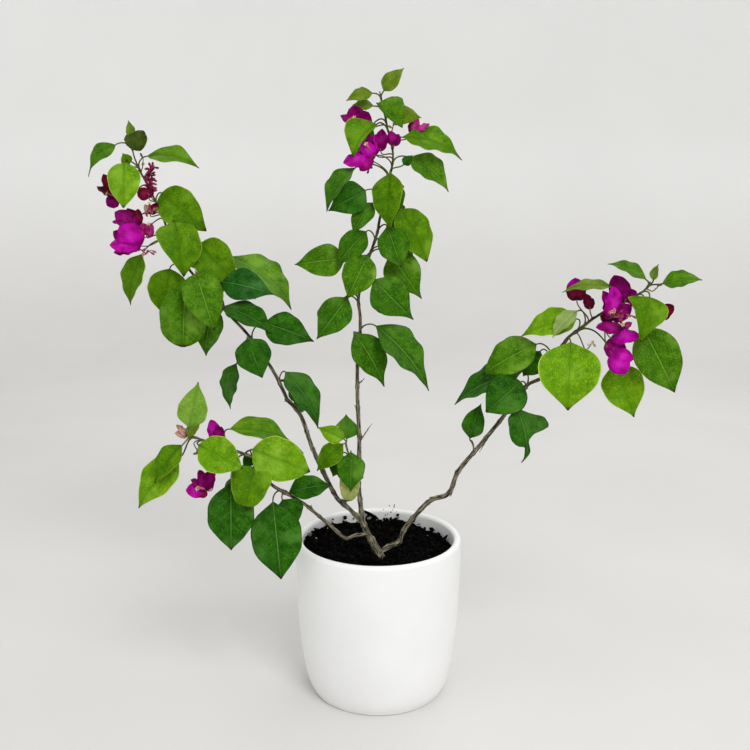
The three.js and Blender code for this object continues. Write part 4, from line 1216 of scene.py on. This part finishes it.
# The undersides' inks in each piece: shade and light
UNDER_INKS = {
    "young": ((118, 144, 66), (146, 168, 92)),
    "green": ((92, 122, 54), (116, 144, 72)),
    "deep": ((74, 106, 48), (98, 126, 62)),
}

# Each bract tint's inks: shade, light, vein and sheen, the painted highlight down a bract's middle
BRACT_INKS = {
    "magenta": ((148, 0, 118), (206, 10, 180), (104, 0, 78), (228, 60, 214)),
    "purple": ((112, 0, 80), (160, 8, 122), (76, 0, 50), (188, 40, 152)),
    "wine": ((82, 8, 30), (136, 18, 62), (54, 0, 18), (164, 40, 92)),
    "pink": ((160, 16, 104), (202, 60, 150), (126, 8, 74), (228, 110, 186)),
    "faded": ((168, 118, 104), (206, 170, 150), (130, 60, 66), (224, 196, 178)),
}

# Each floret tint's inks: shade and light
FLORET_INKS = {
    "pink": ((150, 46, 88), (196, 120, 130)),
    "cream": ((206, 180, 130), (232, 214, 172)),
    "wine": ((100, 12, 46), (168, 48, 100)),
    "green": ((84, 84, 40), (132, 128, 76)),
}


class Front:
    """The leaves that show, as outlines that hide what lies behind them."""

    def __init__(self, leaves):
        rows = np.array([(lean, *row[:7]) for lean, row in leaves], float)
        self.lean, self.foot, self.rib = rows[:, 0], rows[:, 1:3], rows[:, 3:5] - rows[:, 1:3]
        self.half, self.depth, self.drop = abs(rows[:, 5]) / 2, rows[:, 6], rows[:, 7] - rows[:, 6]
        self.length = np.hypot(*self.rib.T)

    def hides(self, points):
        """Which of some points are seen inside the outline of a leaf that is nearer to the eye."""
        seen = EYE + (points - EYE) * (EYE[1] / (EYE[1] - points[:, 1]))[:, None]
        off = seen[:, None, (0, 2)] - self.foot
        share = (off * self.rib).sum(axis=2) / self.length**2
        across = abs(off[..., 0] * self.rib[:, 1] - off[..., 1] * self.rib[:, 0]) / self.length
        depth = self.depth + self.drop * share + self.lean * abs(seen[:, :1])
        nearer = depth + BEHIND_NEARER < points[:, 1:2]
        inside = (share > 0) & (share < 1) & (across < np.interp(share, *EDGE_SHARES) * self.half)
        return (nearer & inside).any(axis=1)

    def hide(self, blade):
        """Whether they cover the whole of a blade's outline."""
        ribs = np.array([blade.on_rib(share) for share in BEHIND_SPOTS])
        wings = blade.side * blade.width * WING * np.interp(BEHIND_SPOTS, *EDGE_SHARES)[:, None]
        return self.hides(np.vstack((ribs, ribs + wings, ribs - wings))).all()


def stalk_course(stem, base, into, share):
    """A stalk arches out of its stem and runs on to its end."""
    start = stem.course.at(share)
    reach = np.linalg.norm(base - start) * 0.4
    leave = start + stem.course.heading(share) * reach
    arrive = base - unit(into - base) * reach
    t = np.linspace(0, 1, 7)[:, None]
    bend = start * (1 - t) ** 3 + 3 * leave * t * (1 - t) ** 2 + 3 * arrive * t**2 * (1 - t) + base * t**3
    return Course([*bend, into], fine=8)


class Sprig:
    """A leaf on its stalk."""

    def __init__(self, stem, blade, share, tint, habit=None, stalk=LEAF_STALK):
        self.blade, self.tint, self.share, self.radii = blade, tint, share, stalk
        self.habit = {**LEAF_HABIT, **(habit or {})}
        under = blade.normal * 0.5
        self.stalk = stalk_course(stem, blade.base - under, blade.on_rib(STALK_IN_BLADE) - under, share)

    def stalk_radius(self, share):
        return float(np.interp(share, (0, 0.25, 1), self.radii))


def shown_sprig(stem, row):
    """The leaf of a row, on a stalk from where its stem comes nearest."""
    x, z, tip_x, tip_z, shown, depth, tip_depth, tint, *habit = row
    base = place(x, z, depth, stem.lean)
    blade = shown_blade(base, place(tip_x, tip_z, tip_depth, stem.lean), shown)
    return Sprig(stem, blade, nearest_share(stem.course, base, PETIOLE_LEAD), tint, *habit)


def drawn_from(table, draw):
    """One draw for each entry of a table."""
    return {name: least + spread * next(draw) for name, (least, spread) in table.items()}


def way_out(drawn):
    """A direction away from the eye, turned and raised as it was drawn."""
    return np.array((math.sin(drawn["heading"]), math.cos(drawn["heading"]), drawn["rise"]))


def hidden_sprig(stem, front, draw):
    """A leaf drawn behind the ones that show, or none where it would stand out past them."""
    drawn = drawn_from(BEHIND, draw)
    out = way_out(drawn)
    base = stem.course.at(drawn["share"]) + out * drawn["reach"]
    out[2] -= drawn["droop"]
    tip = base + unit(out) * drawn["length"]
    tint = HIDDEN_TINTS[int(next(draw) * len(HIDDEN_TINTS))]
    if max(base[1], tip[1]) > BACK_REACH:
        return None
    blade = shown_blade(base, tip, drawn["length"] * drawn["kind"])
    if not front.hide(blade):
        return None
    sprig = Sprig(stem, blade, drawn["share"], tint)
    return (None, [sprig]) if front.hides(sprig.stalk.at(STALK_SPOTS)).all() else None


def hidden_twig(stem, front, draw):
    """A finer twig with three small leaves, drawn behind the ones that show."""
    drawn = drawn_from(TWIG, draw)
    start, out = stem.course.at(drawn["share"]), unit(way_out(drawn))
    places = [start, start + out * drawn["span"] * 0.5 + (0, 0, TWIG_ARCH), start + out * drawn["span"]]
    twig = Limb(places, TWIG_RADII, stem.lean, [at for at, turn in TWIG_LEAVES], seen=False)
    sprigs = []
    for at, turn in TWIG_LEAVES:
        leaf = drawn_from(TWIG_LEAF, draw)
        away = turned(out, np.array((0, 0, 1.0)), turn * leaf["turn"])
        base = twig.course.at(at) + away * leaf["reach"]
        tip = base + unit(away - (0, 0, leaf["droop"])) * leaf["length"]
        blade = shown_blade(base, tip, np.linalg.norm(tip - base) * leaf["kind"])
        if max(base[1], tip[1]) > BACK_REACH or not front.hide(blade):
            return None
        sprigs.append(Sprig(twig, blade, at, "fresh", None, THIN_STALK))
    return (twig, sprigs) if front.hides(twig.course.at(STALK_SPOTS)).all() else None


def roomy(blade, taken):
    """Whether a blade keeps its distance from all the others."""
    near = np.vstack(taken)[:, None] - blade.spots()
    return np.linalg.norm(near, axis=2).min() > ROOM


def filled(wanted, tries, grow, taken):
    """What a rule grows until enough of it has found room or the tries are used up."""
    found = []
    for number in range(tries):
        if len(found) == wanted:
            break
        grown = grow()
        if grown and all(roomy(sprig.blade, taken) for sprig in grown[1]):
            found.append(grown)
            taken += [sprig.blade.spots() for sprig in grown[1]]
    return found


def grow_masses():
    """Every twig and leaf: first what shows, then what fills the crown behind it."""
    twigs, sprigs = [], []
    for mass in MASSES:
        shown = [shown_sprig(mass.stem, row) for row in mass.leaves]
        mass.stem.knots += [sprig.share for sprig in shown]
        sprigs += shown
    taken = [sprig.blade.spots() for sprig in sprigs]
    front = Front([(mass.lean, row) for mass in MASSES for row in mass.leaves])
    for mass in MASSES:
        draw = seeded(mass.seed)
        found = filled(mass.hidden, BEHIND_TRIES, lambda: hidden_sprig(mass.stem, front, draw), taken)
        found += filled(mass.twigs, TWIG_TRIES, lambda: hidden_twig(mass.stem, front, draw), taken)
        twigs += [twig for twig, grown in found if twig]
        sprigs += [sprig for twig, grown in found for sprig in grown]
    return twigs, sprigs


MASS_NODES = [mass.name for mass in MASSES]


def leaf_piece(sprig):
    """The first piece that has a leaf's tint."""
    return next(kind for kind, tints in LEAF_PIECES.items() if sprig.tint in tints)


def leaf_finishes(kind):
    """The upper faces' finishes of a piece of leaves, and its undersides'."""
    return [
        under_finish(f"leaf_{kind}_under", *UNDER_INKS[kind]) if tint == "silver"
        else leaf_finish("leaf_" + tint, *LEAF_INKS[tint])
        for tint in LEAF_PIECES[kind]
    ]


def make_leaves(sprigs):
    """All blades and their stalks, the blades in three pieces by how dark they are."""
    draw = seeded(5)
    stalks = Heap()
    for kind, tints in LEAF_PIECES.items():
        chosen = [sprig for sprig in sprigs if leaf_piece(sprig) == kind]
        blades = Blades(len(chosen))
        for sprig in chosen:
            coats = (tints.index(sprig.tint), tints.index("silver"))
            sheet(blades, sprig.blade, coats, draw, sprig.habit)
            tube(stalks, sprig.stalk, sprig.stalk_radius, STALK_GRID)
        piece(blades.mesh("leaves_" + kind, leaf_finishes(kind), "blade", True), MASS_NODES)
    green = stalk_finish("stalk_green", (44, 54, 12), (92, 100, 36))
    piece(stalks.mesh("leaf_stalks", [green]), MASS_NODES)


# Bark


def make_canes(twigs):
    """Trunk, canes, stems and twigs melted into one skin, with the bark's relief worked into it."""
    limbs, rough = [TRUNK, FLARE], Heap()
    draw = seeded(3)
    for lean, places, radii, spurs in CANES.values():
        cane = Limb(places, radii, lean)
        cane.knots = knots_along(cane.course.length, draw)
        limbs.append(cane)
        for values in spurs:
            spur(rough, cane, *values)
    limbs += [mass.stem for mass in MASSES] + twigs
    for limb in limbs:
        tube(rough, limb.course, limb.radius, LIMB_GRID)
    skin = melted(rough.mesh("canes_rough", []))
    carve_bark(skin, limbs)
    skin.materials.append(bark_finish())
    piece(skin, ["trunk", "bough_left", "bough_centre", "bough_right", "bough_low_left"])


def melted(mesh):
    """One closed skin round everything in a mesh."""
    rough = bpy.data.objects.new("canes_rough", mesh)
    scene.collection.objects.link(rough)
    melt = rough.modifiers.new("melt", "REMESH")
    melt.mode = "VOXEL"
    melt.voxel_size = BARK_GRAIN
    melt.use_smooth_shade = True
    ready = rough.evaluated_get(bpy.context.evaluated_depsgraph_get())
    skin = bpy.data.meshes.new_from_object(ready)
    bpy.data.objects.remove(rough)
    skin.name = "canes"
    return skin


def carve_bark(skin, limbs):
    """Long furrows and small bumps along every limb, and the grain that the bark's colours follow."""
    hearts = []
    for limb in limbs:
        count = round(limb.course.length / 0.8) + 2
        places, headings, across, aside = limb.course.rings(count)
        shares = np.linspace(0, 1, count)
        radii = np.array([limb.radius(share) for share in shares])
        runs = shares * limb.course.length + 37 * len(hearts)
        hearts.append(np.hstack((places, across, aside, radii[:, None], runs[:, None])))
    hearts = np.vstack(hearts)
    tree = kdtree.KDTree(len(hearts))
    for index, heart in enumerate(hearts):
        tree.insert(heart[:3], index)
    tree.balance()
    corners = np.empty(len(skin.vertices) * 3)
    skin.vertices.foreach_get("co", corners)
    corners = corners.reshape(-1, 3) / MM
    normals = np.empty_like(corners).ravel()
    skin.vertex_normals.foreach_get("vector", normals)
    near = hearts[[tree.find(corner)[1] for corner in corners]]
    off = (corners - near[:, :3]) / near[:, 9:10]
    turns = [(off * near[:, first:first + 3]).sum(axis=1) for first in (3, 6)]
    grain = np.stack((*turns, near[:, 10]), axis=1)
    furrows = np.array([noise.noise(at) for at in grain * FURROWS])
    bumps = np.array([noise.noise(at) for at in corners * 0.75])
    depth = near[:, 9] * (FURROW_DEPTH * furrows + BUMP_DEPTH * bumps)
    corners = corners + normals.reshape(-1, 3) * depth[:, None]
    skin.vertices.foreach_set("co", (corners * MM).ravel())
    layer = skin.attributes.new("grain", "FLOAT_VECTOR", "POINT")
    layer.data.foreach_set("vector", grain.ravel())
    skin.update()


# Blossom

BRACT_TINTS, FLORET_TINTS = list(BRACT_INKS), list(FLORET_INKS)
CURLED_FROM = 3
BUD_SHAPE = ((0, 0.25, 0.5, 0.8, 1), (0.3, 0.4, 0.85, 1.05, 0.5))
STAR_SIZE = 1.9
STAR_TURNS = 30
STAR_RINGS = (0.12, 0.45, 0.8, 1.0)
STAR_SKIN = 0.16


def floret(heap, base, heading, length, opened):
    """A slim tube, swollen at its foot, with a small cream star where it has opened."""
    course = Course([base, base + heading * length * 0.5, base + heading * length])
    tube(heap, course, lambda at: 0.62 + 0.3 * float(bump(at, 0.25, 0.22)) + 0.35 * at**3, FLORET_GRID)
    if opened:
        star(heap, base + heading * length, heading)


def spray(heap, course, count, length, tint, draw):
    """Closed buds all round a short way, each a slim drop on a thread."""
    coat = FLORET_TINTS.index(tint)
    for number in range(count):
        share = (number + next(draw)) / count
        away = unit(np.array([next(draw) - 0.5, 0.6 * next(draw) - 0.45, next(draw) - 0.5]))
        out = unit(away + course.heading(share) * 0.7)
        base, run = course.at(share), length * (0.7 + 0.6 * next(draw))
        way = Course([base, base + out * run * 0.55, base + out * run + away * 0.8])
        tube(heap, way, lambda at: float(np.interp(at, *BUD_SHAPE)), BUD_GRID, coat)


def star(heap, at, heading):
    """Five blunt cream lobes round a floret's mouth."""
    across = unit(np.cross(heading, (0.2, 0.7, 0.3)))
    cosine, sine = circle(STAR_TURNS)
    spokes = across * cosine[:, None] + np.cross(heading, across) * sine[:, None]
    lobes = 0.72 + 0.28 * np.cos(5 * np.linspace(0, 2 * math.pi, STAR_TURNS, endpoint=False))
    layers = []
    for lift, rings in ((STAR_SKIN, STAR_RINGS), (-STAR_SKIN, STAR_RINGS[::-1])):
        for ring in rings:
            reach = STAR_SIZE * ring * (1 - ring + ring * lobes)
            layers.append(at + spokes * reach[:, None] + heading * (lift + 0.35 * STAR_SIZE * ring**2))
    ends = [(at + heading * STAR_SKIN,), (at - heading * STAR_SKIN,)]
    faces = flipped(*ring_faces(len(layers), STAR_TURNS))
    heap.add(np.vstack(layers + ends), [(group, FLORET_TINTS.index("cream"), None) for group in faces])


def bracts_and_florets(stem, row, bracts, florets, draw):
    """The bracts round one heart and its florets; gives the heart and the way that the bracts point."""
    (x, z, depth), opened, *shown = row
    heart = place(x, z, depth, stem.lean)
    middle = 0
    for tip_x, tip_z, width, nearer, tint in shown:
        blade = shown_blade(heart, place(tip_x, tip_z, depth - nearer, stem.lean), width)
        middle = middle + blade.along
        habit = {**BRACT_HABIT, **(CURLED if nearer > CURLED_FROM else CUPPED)}
        sheet(bracts, blade, (BRACT_TINTS.index(tint),) * 2, draw, habit)
    middle = unit(middle)
    for number in range(opened):
        aim = np.array([next(draw) - 0.5, -0.4 - next(draw), next(draw) - 0.5])
        floret(florets, heart + middle * 2, unit(middle * 1.6 + aim), 7 + 5 * next(draw), number % 2 == 0)
    return heart, middle


def blossom_stalk(stalks, stem, base, into, root, radius):
    """A thin stalk from a stem to a heart or to the foot of a spray."""
    way = stalk_course(stem, base, into, nearest_share(stem.course, root, PEDICEL_LEAD))
    tube(stalks, way, lambda at: radius - 0.2 * at, THREAD_GRID)


def make_blossoms():
    """Bracts, florets and the thin stalks that carry them."""
    carriers = {mass.name: mass.stem for mass in MASSES}
    rows = [(carriers[name], row) for name, blossoms in BLOSSOMS.items() for row in blossoms]
    bracts, florets, stalks = Blades(sum(len(row) - 2 for stem, row in rows)), Heap(), Heap()
    draw = seeded(8)
    for stem, row in rows:
        heart, middle = bracts_and_florets(stem, row, bracts, florets, draw)
        blossom_stalk(stalks, stem, heart - middle, heart + middle * 2, heart, 0.62)
    for name, places, buds, length, tint in SPRAYS:
        stem = carriers[name]
        way = Course([place(*at, stem.lean) for at in places])
        foot = way.at(0)
        blossom_stalk(stalks, stem, foot - way.heading(0) * 2, foot, foot, 0.6)
        tube(stalks, way, lambda at: 0.5 - 0.2 * at, THREAD_GRID)
        spray(florets, way, buds, length, tint, draw)
    tints = [bract_finish("bract_" + tint, *inks) for tint, inks in BRACT_INKS.items()]
    piece(bracts.mesh("blossom_bracts", tints, "blade", True), MASS_NODES)
    tubes = [stalk_finish("floret_" + tint, *inks) for tint, inks in FLORET_INKS.items()]
    piece(florets.mesh("florets", tubes), MASS_NODES)
    thin = stalk_finish("blossom_stalk", (66, 62, 26), (112, 92, 52))
    piece(stalks.mesh("blossom_stalks", [thin]), MASS_NODES)


# Studio

STAGE_FLAT = 1500
STAGE_ROUND = 600
STAGE_TOP = 1700
STAGE_TURNS = 96

# Each lamp: where it stands, what it looks at, its side in metres and its power
LAMPS = {
    "key": ((0.5, -1.3, 1.45), (0, 0, 0.25), 0.7, 15),
    "back": ((0.5, 1.3, 1.4), (0, 0, 0.3), 1.0, 4),
}


def make_stage():
    """A pale floor that curves up into a wall all round."""
    profile = [(400, 0), (900, 0), (STAGE_FLAT, 0)]
    for turn in np.linspace(0.08, math.pi / 2, 20):
        profile.append((STAGE_FLAT + STAGE_ROUND * math.sin(turn), STAGE_ROUND * (1 - math.cos(turn))))
    profile.append((STAGE_FLAT + STAGE_ROUND, STAGE_TOP))
    walls, caps = flipped(*ring_faces(len(profile), STAGE_TURNS))
    heap = Heap()
    corners = np.vstack((turned_rings(profile, STAGE_TURNS), (0, 0, 0)))
    heap.add(corners, [(walls, 0, None), (caps[:STAGE_TURNS], 0, None)])
    floor = bpy.data.objects.new("studio_floor", heap.mesh("studio_floor", [studio_paper()]))
    scene.collection.objects.link(floor)
    floor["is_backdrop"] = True


def lamp(name, at, aim, size, power):
    """A large soft lamp that looks at a place on the bush."""
    made = bpy.data.objects.new(name, bpy.data.lights.new(name, "AREA"))
    made.data.shape = "SQUARE"
    made.data.size = size
    made.data.energy = power
    made.location = at
    made.rotation_euler = (Vector(aim) - Vector(at)).to_track_quat("-Z", "Y").to_euler()
    scene.collection.objects.link(made)


def light_studio():
    """An even pale sky and two lamps, shown as a plain screen shows them."""
    sky = bpy.data.worlds.new("studio_sky")
    sky.use_nodes = True
    sky.node_tree.nodes["Background"].inputs["Color"].default_value = (1, 1, 1, 1)
    sky.node_tree.nodes["Background"].inputs["Strength"].default_value = 0.8
    scene.world = sky
    for name, values in LAMPS.items():
        lamp(name, *values)
    scene.view_settings.view_transform = "Standard"
    scene.view_settings.look = "None"


make_pot()
make_mix()
twigs, sprigs = grow_masses()
make_canes(twigs)
make_leaves(sprigs)
make_blossoms()
make_stage()
light_studio()

made_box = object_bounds()
({"cad": [list(map(float, corner)) for corner in cad_box],
           "made": [list(map(float, corner)) for corner in made_box]})
